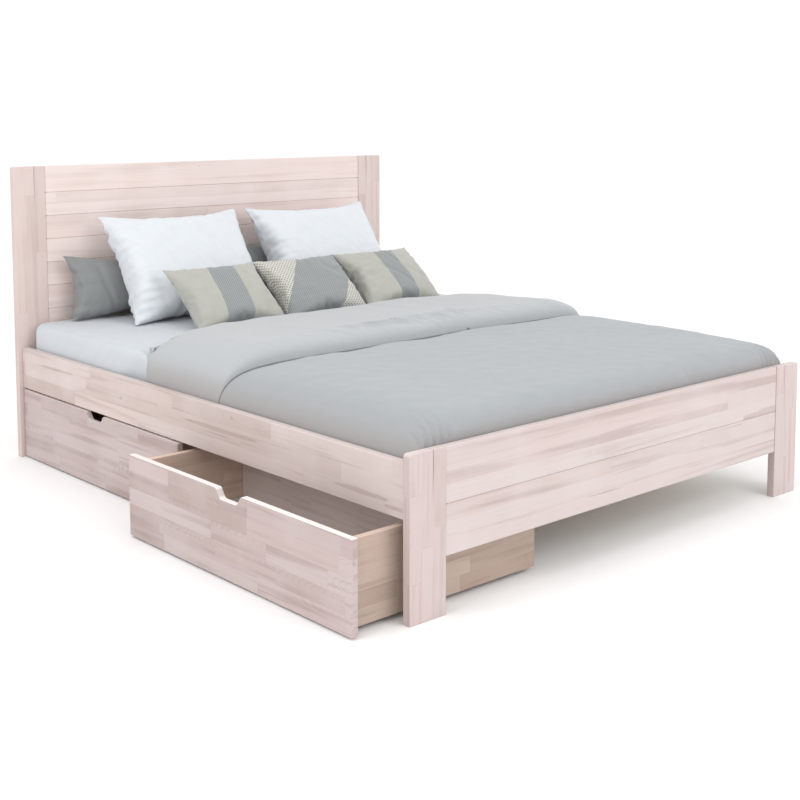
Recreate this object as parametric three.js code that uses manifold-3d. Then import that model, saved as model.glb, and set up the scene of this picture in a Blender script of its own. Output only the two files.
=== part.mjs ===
// Platform bed in solid beech with two roll-out drawers, made up with its bedding.
// Millimetres, +Z up, +Y towards the headboard, drawers on the -X side.
// The origin is on the floor, at the bottom of the centre leg, in the middle of the frame.
// "Left" is the -X side, seen by someone who stands at the foot and looks at the headboard.

import * as THREE from 'three';
import { mergeVertices } from 'three/addons/utils/BufferGeometryUtils.js';
import Module from 'manifold-3d';

const wasm = await Module();
wasm.setup();

// Driving dimensions of the frame.
const BED_WIDTH = 1684;
const RAIL_LENGTH = 2020;
const POST_WIDTH = 120;
const POST_THICKNESS = 25;
const HEAD_POST_HEIGHT = 1028;
const FOOT_POST_HEIGHT = 421;
const HEAD_POST_CORNER_RADIUS = 5;
const FOOT_POST_CORNER_RADIUS = 10;
const RAIL_TOP = 392;
const RAIL_BOTTOM = 251;
const RAIL_THICKNESS = 25;
const RAIL_INSET = 15;
const PANEL_THICKNESS = 22;
const PANEL_RECESS = 2;

// Boards of the headboard, from the top down, and of the footboard, from the bottom up.
const HEAD_TOP_BOARD_HEIGHT = 93;
const HEAD_PLANK_HEIGHT = 83;
const HEAD_PLANK_COUNT = 5;
const FOOTBOARD_BOTTOM = 147;
const FOOTBOARD_GROOVE = 278;

// Mattress support.
const LEDGER_SIZE = 28;
const BEAM_WIDTH = 40;
const BEAM_HEIGHT = 60;
const LEG_SIZE = 40;
const SLAT_COUNT = 14;
const SLAT_LENGTH = 1594;
const SLAT_WIDTH = 70;
const SLAT_THICKNESS = 18;
const SLAT_TOP = 298;
const SLAT_END_CLEARANCE = 20;
const STRAP_WIDTH = 25;
const STRAP_THICKNESS = 1.6;
const STRAP_FROM_MIDDLE = 500;
const BRACKET_LEG = 40;
const BRACKET_THICKNESS = 2.5;
const BRACKET_BOTTOM = 302;
const BRACKET_HEIGHT = 66;
const SCREW_HEAD_RADIUS = 5;
const SCREW_HEAD_HEIGHT = 1;
const SCREW_HEIGHT_SHARES = [0.25, 0.75];
const SCREW_REACH_SHARE = 0.6;

// Drawers. A drawer's width runs along Y and its depth along X.
const DRAWER_FRONT_WIDTH = 1000;
const DRAWER_MIDDLE_GAP = 10;
const DRAWER_FRONT_BOTTOM = 6;
const DRAWER_FRONT_TOP = 244;
const DRAWER_DEPTH = 660;
const DRAWER_BOARD = 20;
const DRAWER_SIDE_SETBACK = 30;
const DRAWER_SIDE_BOTTOM = 14;
const DRAWER_SIDE_TOP = 231;
const DRAWER_FLOOR_BOTTOM = 50.3;
const DRAWER_FLOOR_THICKNESS = 8;
const FOOT_DRAWER_PULL = 170;
const DIVIDER_FROM_FRONT = 340;
const DIVIDER_THICKNESS = 15;
const DIVIDER_BELOW_SIDES = 4;
const NOTCH_TOP_WIDTH = 112;
const NOTCH_BOTTOM_WIDTH = 76;
const NOTCH_DEPTH = 27;
const NOTCH_CORNER = 6;
const NOTCH_CURVE_STEPS = 4;

// Drawer wheels.
const WHEEL_RADIUS = 20;
const WHEEL_WIDTH = 16;
const WHEEL_SHOULDER = 3;
const WHEEL_BORE_RADIUS = 3.4;
const WHEEL_SEGMENTS = 20;
const WHEEL_SETBACK = 70;
const PIN_RADIUS = 3;
const PIN_SEGMENTS = 12;
const CHEEK_THICKNESS = 3;
const CHEEK_CLEARANCE = 1.5;
const CHEEK_WIDTH = 24;
const CHEEK_BOTTOM = 12;
const HOUSING_PLATE_LENGTH = 50;
const HOUSING_PLATE_WIDTH = 40;

// Bedding.
const MATTRESS_HALF_WIDTH = 779;
const MATTRESS_BOTTOM = 300;
const MATTRESS_TOP = 480;
const MATTRESS_HEAD_END = 1006;
const MATTRESS_FOOT_END = -986;
const DUVET_HALF_WIDTH = 801;
const DUVET_HEAD_EDGE = 375;
const DUVET_FOOT_END = -1009;
const DUVET_TOP = 512;
const DUVET_HEM = 372;
const MATTRESS_CORNER_RADIUS = 50;
const MATTRESS_EDGE_ROUND = 20;
const MATTRESS_CORNER_STEPS = 4;
const DUVET_CORNER_RADIUS = 20;
const DUVET_EDGE_ROUND = 12;
const DUVET_CORNER_STEPS = 3;

// Cushions. rearY is where the lower rear edge lies, and lean is the angle from upright in degrees.
const WHITE_PILLOW = { width: 610, height: 400, thickness: 110, rearY: 732, lean: 35 };
const WHITE_PILLOW_MIDDLES = { left: -272, right: 368 };
const DARK_PILLOW = { width: 660, height: 230, thickness: 95, rearY: 957, lean: 12 };
const DARK_PILLOW_MIDDLES = { left: -370, right: 330 };
const SMALL_CUSHION = { width: 380, height: 290, thickness: 85, rearY: 440, lean: 60 };
const SMALL_CUSHION_MIDDLES = { left: -295, centre: 113, right: 510 };
const CUSHION_EASE_SHARE = 0.42;
const CUSHION_CORNER_SHARE = 1.3;
const CUSHION_CORNER_STEPS = 2;

// General.
const FIT_GAP = 0.3;
const EDGE_ROUND = 2;
const EDGE_STEPS = 2;
const CORNER_ROUND = 4;
const CORNER_STEPS = 6;
const BOARD_CORNER_STEPS = 1;
const JOIN_OVERLAP = 0.5;

const halfLength = RAIL_LENGTH / 2;
const halfWidth = BED_WIDTH / 2;
const postInner = halfWidth - POST_WIDTH;
const railOuter = halfWidth - RAIL_INSET;
const railInner = railOuter - RAIL_THICKNESS;
const slatBottom = SLAT_TOP - SLAT_THICKNESS;
const supportTop = slatBottom - FIT_GAP;

function wood(color) {
  return new THREE.MeshStandardMaterial({ color, roughness: 0.6, metalness: 0 });
}

const finishes = {
  beech: () => wood(0xe2cdc2),
  drawerFront: () => wood(0xd8c6bd),
  drawerBox: () => wood(0xc9b4a6),
  hiddenWood: () => wood(0xd3bfa8),
  slat: () => wood(0xddc9ab),
  steel: () => new THREE.MeshStandardMaterial({ color: 0xa9abad, roughness: 0.4, metalness: 1 }),
  housing: () => new THREE.MeshStandardMaterial({ color: 0x2b2c2e, roughness: 0.55, metalness: 0 }),
  wheel: () => new THREE.MeshStandardMaterial({ color: 0x55575a, roughness: 0.7, metalness: 0 }),
  sheet: () => new THREE.MeshStandardMaterial({ color: 0xeceff3, roughness: 0.9, metalness: 0 }),
  duvet: () => new THREE.MeshStandardMaterial({ color: 0xb3b8ba, roughness: 0.9, metalness: 0 }),
  darkCloth: () => new THREE.MeshStandardMaterial({ color: 0x85888a, roughness: 0.9, metalness: 0 }),
  stripedCloth: () => new THREE.MeshStandardMaterial({ color: 0xc4c2bd, roughness: 0.9, metalness: 0 }),
  patternedCloth: () => new THREE.MeshStandardMaterial({ color: 0xb9b6b0, roughness: 0.9, metalness: 0 }),
};

function named(name, geometry, finish) {
  const mesh = new THREE.Mesh(geometry, finishes[finish]());
  mesh.name = name;
  return mesh;
}

// A rectangle from the origin to (width, height) with every corner rounded to one radius.
function roundedRectangle(width, height, radius) {
  const outline = new THREE.Shape();
  outline.absarc(width - radius, radius, radius, -Math.PI / 2, 0);
  outline.absarc(width - radius, height - radius, radius, 0, Math.PI / 2);
  outline.absarc(radius, height - radius, radius, Math.PI / 2, Math.PI);
  outline.absarc(radius, radius, radius, Math.PI, 1.5 * Math.PI);
  outline.closePath();
  return outline;
}

// An outline at its full size, extruded along +Z, with the edges of both faces rounded over.
function easedSolid(outline, depth, ease, curveSegments = CORNER_STEPS) {
  const geometry = new THREE.ExtrudeGeometry(outline, {
    depth: depth - 2 * ease,
    bevelThickness: ease,
    bevelSize: ease,
    bevelOffset: -ease,
    bevelSegments: EDGE_STEPS,
    curveSegments,
  });
  geometry.translate(0, 0, ease);
  return geometry;
}

// Turns a solid drawn in XY so that its thickness lies along one axis of the bed.
// The outline's own axes become the next two axes in the order X, Y, Z, X, Y.
function turnThickness(geometry, thinAxis, corner) {
  const axes = [0, 1, 2].map((axis) => new THREE.Vector3().setComponent(axis, 1));
  const matrix = new THREE.Matrix4();
  matrix.makeBasis(axes[(thinAxis + 1) % 3], axes[(thinAxis + 2) % 3], axes[thinAxis]);
  matrix.setPosition(corner[0], corner[1], corner[2]);
  return geometry.applyMatrix4(matrix);
}

// A straight board between two corners, with eased edges all round.
function board(name, low, high, finish) {
  const size = high.map((value, axis) => value - low[axis]);
  const thinAxis = size.indexOf(Math.min(...size));
  const outline = roundedRectangle(size[(thinAxis + 1) % 3], size[(thinAxis + 2) % 3], CORNER_ROUND);
  const solid = easedSolid(outline, size[thinAxis], EDGE_ROUND, BOARD_CORNER_STEPS);
  return named(name, turnThickness(solid, thinAxis, low), finish);
}

// A plain block with sharp edges, for cutting and joining.
function blockGeometry(low, high) {
  const size = high.map((value, axis) => value - low[axis]);
  const geometry = new THREE.BoxGeometry(...size);
  return geometry.translate(...low.map((value, axis) => value + size[axis] / 2));
}

function toSolid(geometry) {
  const bare = geometry.clone();
  bare.deleteAttribute('normal');
  bare.deleteAttribute('uv');
  const merged = mergeVertices(bare);
  return new wasm.Manifold(new wasm.Mesh({
    numProp: 3,
    vertProperties: new Float32Array(merged.attributes.position.array),
    triVerts: new Uint32Array(merged.index.array),
  }));
}

function fromSolid(solid) {
  const mesh = solid.getMesh();
  const geometry = new THREE.BufferGeometry();
  geometry.setAttribute('position', new THREE.BufferAttribute(new Float32Array(mesh.vertProperties), 3));
  geometry.setIndex(new THREE.BufferAttribute(new Uint32Array(mesh.triVerts), 1));
  return geometry;
}

function joined(geometries) {
  return fromSolid(geometries.map(toSolid).reduce((whole, next) => whole.add(next)));
}

function cut(geometry, cutter) {
  return fromSolid(toSolid(geometry).subtract(toSolid(cutter)));
}

// A post's outline has its height along the first axis and its width along the second.
// Only the outer top corner is rounded.
function post(name, side, lowY, height, radius) {
  const outerIsLow = side < 0;
  const outline = new THREE.Shape();
  outline.moveTo(0, 0);
  if (outerIsLow) {
    outline.lineTo(height - radius, 0);
    outline.absarc(height - radius, radius, radius, -Math.PI / 2, 0);
    outline.lineTo(height, POST_WIDTH);
  } else {
    outline.lineTo(height, 0);
    outline.absarc(height - radius, POST_WIDTH - radius, radius, 0, Math.PI / 2);
  }
  outline.lineTo(0, POST_WIDTH);
  outline.closePath();
  const lowX = outerIsLow ? -halfWidth : postInner;
  const solid = easedSolid(outline, POST_THICKNESS, EDGE_ROUND);
  return named(name, turnThickness(solid, 1, [lowX, lowY, 0]), 'beech');
}

function headboard() {
  const pieces = [
    post('head_post_left', -1, halfLength, HEAD_POST_HEIGHT, HEAD_POST_CORNER_RADIUS),
    post('head_post_right', 1, halfLength, HEAD_POST_HEIGHT, HEAD_POST_CORNER_RADIUS),
  ];
  const front = halfLength + PANEL_RECESS;
  const back = front + PANEL_THICKNESS - FIT_GAP;
  const reach = postInner - FIT_GAP;
  const plank = (name, bottom, top) => board(
    name,
    [-reach, front, bottom],
    [reach, back, top - FIT_GAP],
    'beech',
  );
  let edge = HEAD_POST_HEIGHT + FIT_GAP;
  pieces.push(plank('headboard_top_board', edge - HEAD_TOP_BOARD_HEIGHT, edge));
  edge -= HEAD_TOP_BOARD_HEIGHT;
  for (let index = 1; index <= HEAD_PLANK_COUNT; index += 1) {
    pieces.push(plank(`headboard_plank_${index}`, edge - HEAD_PLANK_HEIGHT, edge));
    edge -= HEAD_PLANK_HEIGHT;
  }
  pieces.push(plank('headboard_base_board', RAIL_BOTTOM, edge));
  return pieces;
}

function footboard() {
  const back = -halfLength - PANEL_RECESS / 2;
  const front = back - PANEL_THICKNESS;
  const reach = postInner - FIT_GAP;
  const lowY = -halfLength - POST_THICKNESS;
  return [
    post('foot_post_left', -1, lowY, FOOT_POST_HEIGHT, FOOT_POST_CORNER_RADIUS),
    post('foot_post_right', 1, lowY, FOOT_POST_HEIGHT, FOOT_POST_CORNER_RADIUS),
    board(
      'footboard_lower_board',
      [-reach, front, FOOTBOARD_BOTTOM],
      [reach, back, FOOTBOARD_GROOVE - FIT_GAP],
      'beech',
    ),
    board(
      'footboard_upper_board',
      [-reach, front, FOOTBOARD_GROOVE],
      [reach, back, FOOT_POST_HEIGHT],
      'beech',
    ),
  ];
}

// A board beside the bed's left or right edge, given by its distances from the middle.
function sideBoard(name, side, [nearX, farX], [bottom, top], finish) {
  const reach = halfLength - FIT_GAP;
  const edges = [side * nearX, side * farX].sort((a, b) => a - b);
  return board(name, [edges[0], -reach, bottom], [edges[1], reach, top], finish);
}

function sideRails() {
  const ledgerOuter = railInner - FIT_GAP;
  const ledgerInner = ledgerOuter - LEDGER_SIZE;
  const ledgerBottom = supportTop - LEDGER_SIZE;
  return [[-1, 'left'], [1, 'right']].flatMap(([side, label]) => [
    sideBoard(`side_rail_${label}`, side, [railInner, railOuter], [RAIL_BOTTOM, RAIL_TOP], 'beech'),
    sideBoard(
      `slat_ledger_${label}`,
      side,
      [ledgerInner, ledgerOuter],
      [ledgerBottom, supportTop],
      'hiddenWood',
    ),
  ]);
}

function centreSupport() {
  const beamBottom = supportTop - BEAM_HEIGHT;
  const footEnd = -halfLength - PANEL_RECESS / 2 + FIT_GAP;
  const headEnd = halfLength + PANEL_RECESS - FIT_GAP;
  return [
    board(
      'centre_beam',
      [-BEAM_WIDTH / 2, footEnd, beamBottom],
      [BEAM_WIDTH / 2, headEnd, supportTop],
      'hiddenWood',
    ),
    board(
      'centre_leg',
      [-LEG_SIZE / 2, -LEG_SIZE / 2, 0],
      [LEG_SIZE / 2, LEG_SIZE / 2, beamBottom - FIT_GAP],
      'hiddenWood',
    ),
  ];
}

// Slats held at even spaces by two webbing straps stapled along their top faces.
function slatMat() {
  const firstMiddle = -halfLength + SLAT_END_CLEARANCE + SLAT_WIDTH / 2;
  const pitch = (-2 * firstMiddle) / (SLAT_COUNT - 1);
  const slats = Array.from({ length: SLAT_COUNT }, (unused, index) => {
    const middle = firstMiddle + index * pitch;
    return blockGeometry(
      [-SLAT_LENGTH / 2, middle - SLAT_WIDTH / 2, slatBottom],
      [SLAT_LENGTH / 2, middle + SLAT_WIDTH / 2, SLAT_TOP],
    );
  });
  const straps = [-1, 1].map((side) => blockGeometry(
    [side * STRAP_FROM_MIDDLE - STRAP_WIDTH / 2, firstMiddle, SLAT_TOP - JOIN_OVERLAP],
    [side * STRAP_FROM_MIDDLE + STRAP_WIDTH / 2, -firstMiddle, SLAT_TOP + STRAP_THICKNESS],
  ));
  return named('slat_mat', joined([...slats, ...straps]), 'slat');
}

// A steel angle in the corner of rail and post, with two screw heads on each leg.
// It is drawn for the corner at +X and +Y, and turned or mirrored by its two sides.
function cornerBracket(name, sideX, sideY) {
  const cornerX = railInner - FIT_GAP;
  const cornerY = halfLength - FIT_GAP;
  const top = BRACKET_BOTTOM + BRACKET_HEIGHT;
  const span = (side, low, high) => [side * low, side * high].sort((a, b) => a - b);
  const block = (nearX, farX, nearY, farY) => {
    const [lowX, highX] = span(sideX, nearX, farX);
    const [lowY, highY] = span(sideY, nearY, farY);
    return blockGeometry([lowX, lowY, BRACKET_BOTTOM], [highX, highY, top]);
  };
  const legs = [
    block(cornerX - BRACKET_THICKNESS, cornerX, cornerY - BRACKET_LEG, cornerY),
    block(cornerX - BRACKET_LEG, cornerX, cornerY - BRACKET_THICKNESS, cornerY),
  ];
  const length = SCREW_HEAD_HEIGHT + JOIN_OVERLAP;
  const inward = BRACKET_THICKNESS + SCREW_HEAD_HEIGHT - length / 2;
  const along = BRACKET_LEG * SCREW_REACH_SHARE;
  const screwHead = () => new THREE.CylinderGeometry(
    SCREW_HEAD_RADIUS,
    SCREW_HEAD_RADIUS,
    length,
    PIN_SEGMENTS,
  );
  const heads = SCREW_HEIGHT_SHARES.flatMap((share) => {
    const height = BRACKET_BOTTOM + share * BRACKET_HEIGHT;
    const onRail = screwHead().rotateZ(Math.PI / 2);
    onRail.translate(sideX * (cornerX - inward), sideY * (cornerY - along), height);
    const onPost = screwHead();
    onPost.translate(sideX * (cornerX - along), sideY * (cornerY - inward), height);
    return [onRail, onPost];
  });
  return named(name, joined([...legs, ...heads]), 'steel');
}

function cornerBrackets() {
  const corners = [['head', 1], ['foot', -1]].flatMap(([end, sideY]) => (
    [['left', -1], ['right', 1]].map(([label, sideX]) => [`corner_bracket_${end}_${label}`, sideX, sideY])
  ));
  return corners.map(([name, sideX, sideY]) => cornerBracket(name, sideX, sideY));
}

// A drawer front with a finger notch in the middle of its top edge. Width first, then height.
function drawerFrontOutline() {
  const height = DRAWER_FRONT_TOP - DRAWER_FRONT_BOTTOM;
  const middle = DRAWER_FRONT_WIDTH / 2;
  const notchFloor = height - NOTCH_DEPTH;
  const topHalf = NOTCH_TOP_WIDTH / 2;
  const bottomHalf = NOTCH_BOTTOM_WIDTH / 2;
  const slope = (topHalf - bottomHalf) / NOTCH_DEPTH;
  const outline = new THREE.Shape();
  outline.absarc(DRAWER_FRONT_WIDTH - CORNER_ROUND, CORNER_ROUND, CORNER_ROUND, -Math.PI / 2, 0);
  outline.absarc(DRAWER_FRONT_WIDTH - CORNER_ROUND, height - CORNER_ROUND, CORNER_ROUND, 0, Math.PI / 2);
  for (const side of [1, -1]) {
    const lip = [
      [topHalf + NOTCH_CORNER, height],
      [topHalf, height],
      [topHalf - NOTCH_CORNER * slope, height - NOTCH_CORNER],
    ];
    const foot = [
      [bottomHalf + NOTCH_CORNER * slope, notchFloor + NOTCH_CORNER],
      [bottomHalf, notchFloor],
      [bottomHalf - NOTCH_CORNER, notchFloor],
    ];
    const bends = side > 0 ? [lip, foot] : [foot.reverse(), lip.reverse()];
    for (const [start, control, end] of bends) {
      outline.lineTo(middle + side * start[0], start[1]);
      outline.quadraticCurveTo(middle + side * control[0], control[1], middle + side * end[0], end[1]);
    }
  }
  outline.absarc(CORNER_ROUND, height - CORNER_ROUND, CORNER_ROUND, Math.PI / 2, Math.PI);
  outline.absarc(CORNER_ROUND, CORNER_ROUND, CORNER_ROUND, Math.PI, 1.5 * Math.PI);
  outline.closePath();
  return outline;
}

// A small U-shaped housing with its pin, drawn around the wheel's own axis.
function wheelHousing(name) {
  const plateTop = DRAWER_FLOOR_BOTTOM - FIT_GAP - WHEEL_RADIUS;
  const plateBottom = plateTop - CHEEK_THICKNESS;
  const cheekInner = WHEEL_WIDTH / 2 + CHEEK_CLEARANCE;
  const cheekOuter = cheekInner + CHEEK_THICKNESS;
  const plate = blockGeometry(
    [-HOUSING_PLATE_LENGTH / 2, -HOUSING_PLATE_WIDTH / 2, plateBottom],
    [HOUSING_PLATE_LENGTH / 2, HOUSING_PLATE_WIDTH / 2, plateTop],
  );
  const cheeks = [[-cheekOuter, -cheekInner], [cheekInner, cheekOuter]].map(([lowY, highY]) => blockGeometry(
    [-CHEEK_WIDTH / 2, lowY, CHEEK_BOTTOM - WHEEL_RADIUS],
    [CHEEK_WIDTH / 2, highY, plateBottom + JOIN_OVERLAP],
  ));
  const pinLength = 2 * cheekInner + CHEEK_THICKNESS;
  const pin = new THREE.CylinderGeometry(PIN_RADIUS, PIN_RADIUS, pinLength, PIN_SEGMENTS);
  return named(name, joined([plate, ...cheeks, pin]), 'housing');
}

function wheel(name) {
  const half = WHEEL_WIDTH / 2;
  const shoulder = WHEEL_RADIUS - WHEEL_SHOULDER;
  const profile = [
    [WHEEL_BORE_RADIUS, -half],
    [shoulder, -half],
    [WHEEL_RADIUS, WHEEL_SHOULDER - half],
    [WHEEL_RADIUS, half - WHEEL_SHOULDER],
    [shoulder, half],
    [WHEEL_BORE_RADIUS, half],
    [WHEEL_BORE_RADIUS, -half],
  ].map(([radius, along]) => new THREE.Vector2(radius, along));
  return named(name, new THREE.LatheGeometry(profile, WHEEL_SEGMENTS), 'wheel');
}

// A board that stands on the drawer's floor and parts it lengthwise, between two places along Y.
function divider(name, insideX, lowY, highY) {
  const nearX = insideX + DIVIDER_FROM_FRONT;
  return board(
    name,
    [nearX, lowY, DRAWER_FLOOR_BOTTOM + DRAWER_FLOOR_THICKNESS + FIT_GAP],
    [nearX + DIVIDER_THICKNESS, highY, DRAWER_SIDE_TOP - DIVIDER_BELOW_SIDES],
    'drawerBox',
  );
}

// One drawer, built in its closed place and rolled out by its group.
function drawer(prefix, lowY, pull, hasDivider) {
  const group = new THREE.Group();
  const highY = lowY + DRAWER_FRONT_WIDTH;
  const frontX = -railOuter;
  const insideX = frontX + DRAWER_BOARD + FIT_GAP;
  const backX = frontX + DRAWER_DEPTH;
  const backInner = backX - DRAWER_BOARD;
  const outerLow = lowY + DRAWER_SIDE_SETBACK;
  const outerHigh = highY - DRAWER_SIDE_SETBACK;
  const innerLow = outerLow + DRAWER_BOARD;
  const innerHigh = outerHigh - DRAWER_BOARD;
  const front = easedSolid(drawerFrontOutline(), DRAWER_BOARD, EDGE_ROUND, NOTCH_CURVE_STEPS);
  group.add(
    named(`${prefix}_front`, turnThickness(front, 0, [frontX, lowY, DRAWER_FRONT_BOTTOM]), 'drawerFront'),
    board(
      `${prefix}_side_foot`,
      [insideX, outerLow, DRAWER_SIDE_BOTTOM],
      [backX, innerLow, DRAWER_SIDE_TOP],
      'drawerBox',
    ),
    board(
      `${prefix}_side_head`,
      [insideX, innerHigh, DRAWER_SIDE_BOTTOM],
      [backX, outerHigh, DRAWER_SIDE_TOP],
      'drawerBox',
    ),
    board(
      `${prefix}_back`,
      [backInner, innerLow + FIT_GAP, DRAWER_SIDE_BOTTOM],
      [backX, innerHigh - FIT_GAP, DRAWER_SIDE_TOP],
      'drawerBox',
    ),
    board(
      `${prefix}_bottom`,
      [insideX, innerLow + FIT_GAP, DRAWER_FLOOR_BOTTOM],
      [backInner - FIT_GAP, innerHigh - FIT_GAP, DRAWER_FLOOR_BOTTOM + DRAWER_FLOOR_THICKNESS],
      'drawerBox',
    ),
  );
  if (hasDivider) {
    group.add(divider(`${prefix}_divider`, insideX, innerLow + FIT_GAP, innerHigh - FIT_GAP));
  }
  const placesX = [['front', insideX + WHEEL_SETBACK], ['back', backInner - WHEEL_SETBACK]];
  const placesY = [['foot', innerLow + WHEEL_SETBACK], ['head', innerHigh - WHEEL_SETBACK]];
  for (const [depthLabel, middleX] of placesX) {
    for (const [widthLabel, middleY] of placesY) {
      const place = new THREE.Group();
      place.position.set(middleX, middleY, WHEEL_RADIUS);
      place.add(wheelHousing(`${prefix}_housing_${depthLabel}_${widthLabel}`));
      place.add(wheel(`${prefix}_wheel_${depthLabel}_${widthLabel}`));
      group.add(place);
    }
  }
  group.position.x = -pull;
  return group;
}

function mattress() {
  const width = 2 * MATTRESS_HALF_WIDTH;
  const length = MATTRESS_HEAD_END - MATTRESS_FOOT_END;
  const depth = MATTRESS_TOP - MATTRESS_BOTTOM;
  const outline = roundedRectangle(width, length, MATTRESS_CORNER_RADIUS);
  const solid = easedSolid(outline, depth, MATTRESS_EDGE_ROUND, MATTRESS_CORNER_STEPS);
  solid.translate(-MATTRESS_HALF_WIDTH, MATTRESS_FOOT_END, MATTRESS_BOTTOM);
  return named('mattress', solid, 'sheet');
}

// The duvet lies on the mattress and hangs into the gap between the mattress and the frame.
function duvet() {
  const length = DUVET_HEAD_EDGE - DUVET_FOOT_END;
  const outline = roundedRectangle(2 * DUVET_HALF_WIDTH, length, DUVET_CORNER_RADIUS);
  const outer = easedSolid(outline, DUVET_TOP - DUVET_HEM, DUVET_EDGE_ROUND, DUVET_CORNER_STEPS);
  outer.translate(-DUVET_HALF_WIDTH, DUVET_FOOT_END, DUVET_HEM);
  const clear = 2 * FIT_GAP;
  const hollow = blockGeometry(
    [-MATTRESS_HALF_WIDTH - clear, MATTRESS_FOOT_END - clear, MATTRESS_BOTTOM],
    [MATTRESS_HALF_WIDTH + clear, DUVET_HEAD_EDGE + clear, MATTRESS_TOP + clear],
  );
  return named('duvet', cut(outer, hollow), 'duvet');
}

// A stuffed cushion leaning back from its lower rear edge, which lies on the mattress.
function cushion(name, { width, height, thickness, rearY, lean }, middleX, finish) {
  const ease = thickness * CUSHION_EASE_SHARE;
  const outline = roundedRectangle(width, height, ease * CUSHION_CORNER_SHARE);
  const solid = easedSolid(outline, thickness, ease, CUSHION_CORNER_STEPS);
  solid.translate(-width / 2, 0, 0);
  const mesh = named(name, solid, finish);
  mesh.rotation.x = Math.PI / 2 - THREE.MathUtils.degToRad(lean);
  mesh.position.set(middleX, rearY, MATTRESS_TOP + FIT_GAP);
  return mesh;
}

function bedding() {
  return [
    mattress(),
    duvet(),
    cushion('dark_pillow_left', DARK_PILLOW, DARK_PILLOW_MIDDLES.left, 'darkCloth'),
    cushion('dark_pillow_right', DARK_PILLOW, DARK_PILLOW_MIDDLES.right, 'darkCloth'),
    cushion('white_pillow_left', WHITE_PILLOW, WHITE_PILLOW_MIDDLES.left, 'sheet'),
    cushion('white_pillow_right', WHITE_PILLOW, WHITE_PILLOW_MIDDLES.right, 'sheet'),
    cushion('striped_cushion_left', SMALL_CUSHION, SMALL_CUSHION_MIDDLES.left, 'stripedCloth'),
    cushion('patterned_cushion', SMALL_CUSHION, SMALL_CUSHION_MIDDLES.centre, 'patternedCloth'),
    cushion('striped_cushion_right', SMALL_CUSHION, SMALL_CUSHION_MIDDLES.right, 'stripedCloth'),
  ];
}

const bed = new THREE.Group();
const drawerFrontReach = DRAWER_FRONT_WIDTH + DRAWER_MIDDLE_GAP / 2;
bed.add(
  ...headboard(),
  ...footboard(),
  ...sideRails(),
  ...centreSupport(),
  slatMat(),
  ...cornerBrackets(),
  drawer('head_drawer', DRAWER_MIDDLE_GAP / 2, 0, false),
  drawer('foot_drawer', -drawerFrontReach, FOOT_DRAWER_PULL, true),
  ...bedding(),
);

export default bed;
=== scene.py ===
"""Looks for a platform bed with storage drawers: finishes, mattress, duvet, pillows and studio.

The frame comes packed, and every piece here is placed from its boxes. Metres, +Z up, +Y towards the
headboard, drawers on the -X side. Run as a script inside Blender.
"""

import math

import bpy
import numpy as np
from mathutils import Euler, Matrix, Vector


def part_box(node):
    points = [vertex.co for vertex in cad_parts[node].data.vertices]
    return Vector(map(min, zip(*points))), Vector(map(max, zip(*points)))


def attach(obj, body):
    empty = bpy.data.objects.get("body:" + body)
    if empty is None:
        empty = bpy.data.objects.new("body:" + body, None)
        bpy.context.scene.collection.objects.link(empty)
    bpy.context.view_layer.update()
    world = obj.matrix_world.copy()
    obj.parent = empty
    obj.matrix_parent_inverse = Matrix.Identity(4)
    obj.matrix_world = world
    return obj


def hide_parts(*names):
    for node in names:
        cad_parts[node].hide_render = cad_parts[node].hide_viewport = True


bl_info = {
    "name": "Platform bed looks",
    "version": (1, 0, 0),
    "blender": (4, 5, 0),
    "location": "View3D > Sidebar > Bed",
    "description": "Finishes the packed bed frame and adds its mattress, duvet, pillows and studio",
    "category": "Object",
}

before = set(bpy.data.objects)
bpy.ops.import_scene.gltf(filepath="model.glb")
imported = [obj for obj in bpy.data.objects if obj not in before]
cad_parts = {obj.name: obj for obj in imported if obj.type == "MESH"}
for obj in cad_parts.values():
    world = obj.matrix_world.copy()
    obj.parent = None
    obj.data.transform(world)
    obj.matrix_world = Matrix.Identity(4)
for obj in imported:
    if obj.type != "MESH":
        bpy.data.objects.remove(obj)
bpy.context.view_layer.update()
ROOT = "bed"


# ---- Settings that a user would change


def metres(name, description, default):
    """A length that the panel shows."""
    return bpy.props.FloatProperty(name=name, description=description, default=default, unit="LENGTH")


def tone(name, description, default):
    """A colour that the panel shows."""
    return bpy.props.FloatVectorProperty(
        name=name, description=description, default=default, subtype="COLOR"
    )


class BedClothSettings(bpy.types.PropertyGroup):
    """Sizes and fullness of the bedding."""

    duvet_crown: metres("Duvet crown", "Height of the duvet's middle above the mattress", 0.017)
    duvet_thickness: metres("Duvet thickness", "Thickness of the quilted cover and its filling", 0.014)
    band_width: metres("Band width", "Width of the turned-back band at the head of the duvet", 0.55)
    band_loft: metres("Band loft", "Height of the turned-back band above the rest of the duvet", 0.034)
    ripple: metres("Ripple", "Height of the soft waves in the duvet's surface", 0.0022)
    pressure: bpy.props.FloatProperty(
        name="Filling pressure",
        description="Pressure of the filling in the pillow simulation",
        default=4.0,
        min=0.0,
    )


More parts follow.
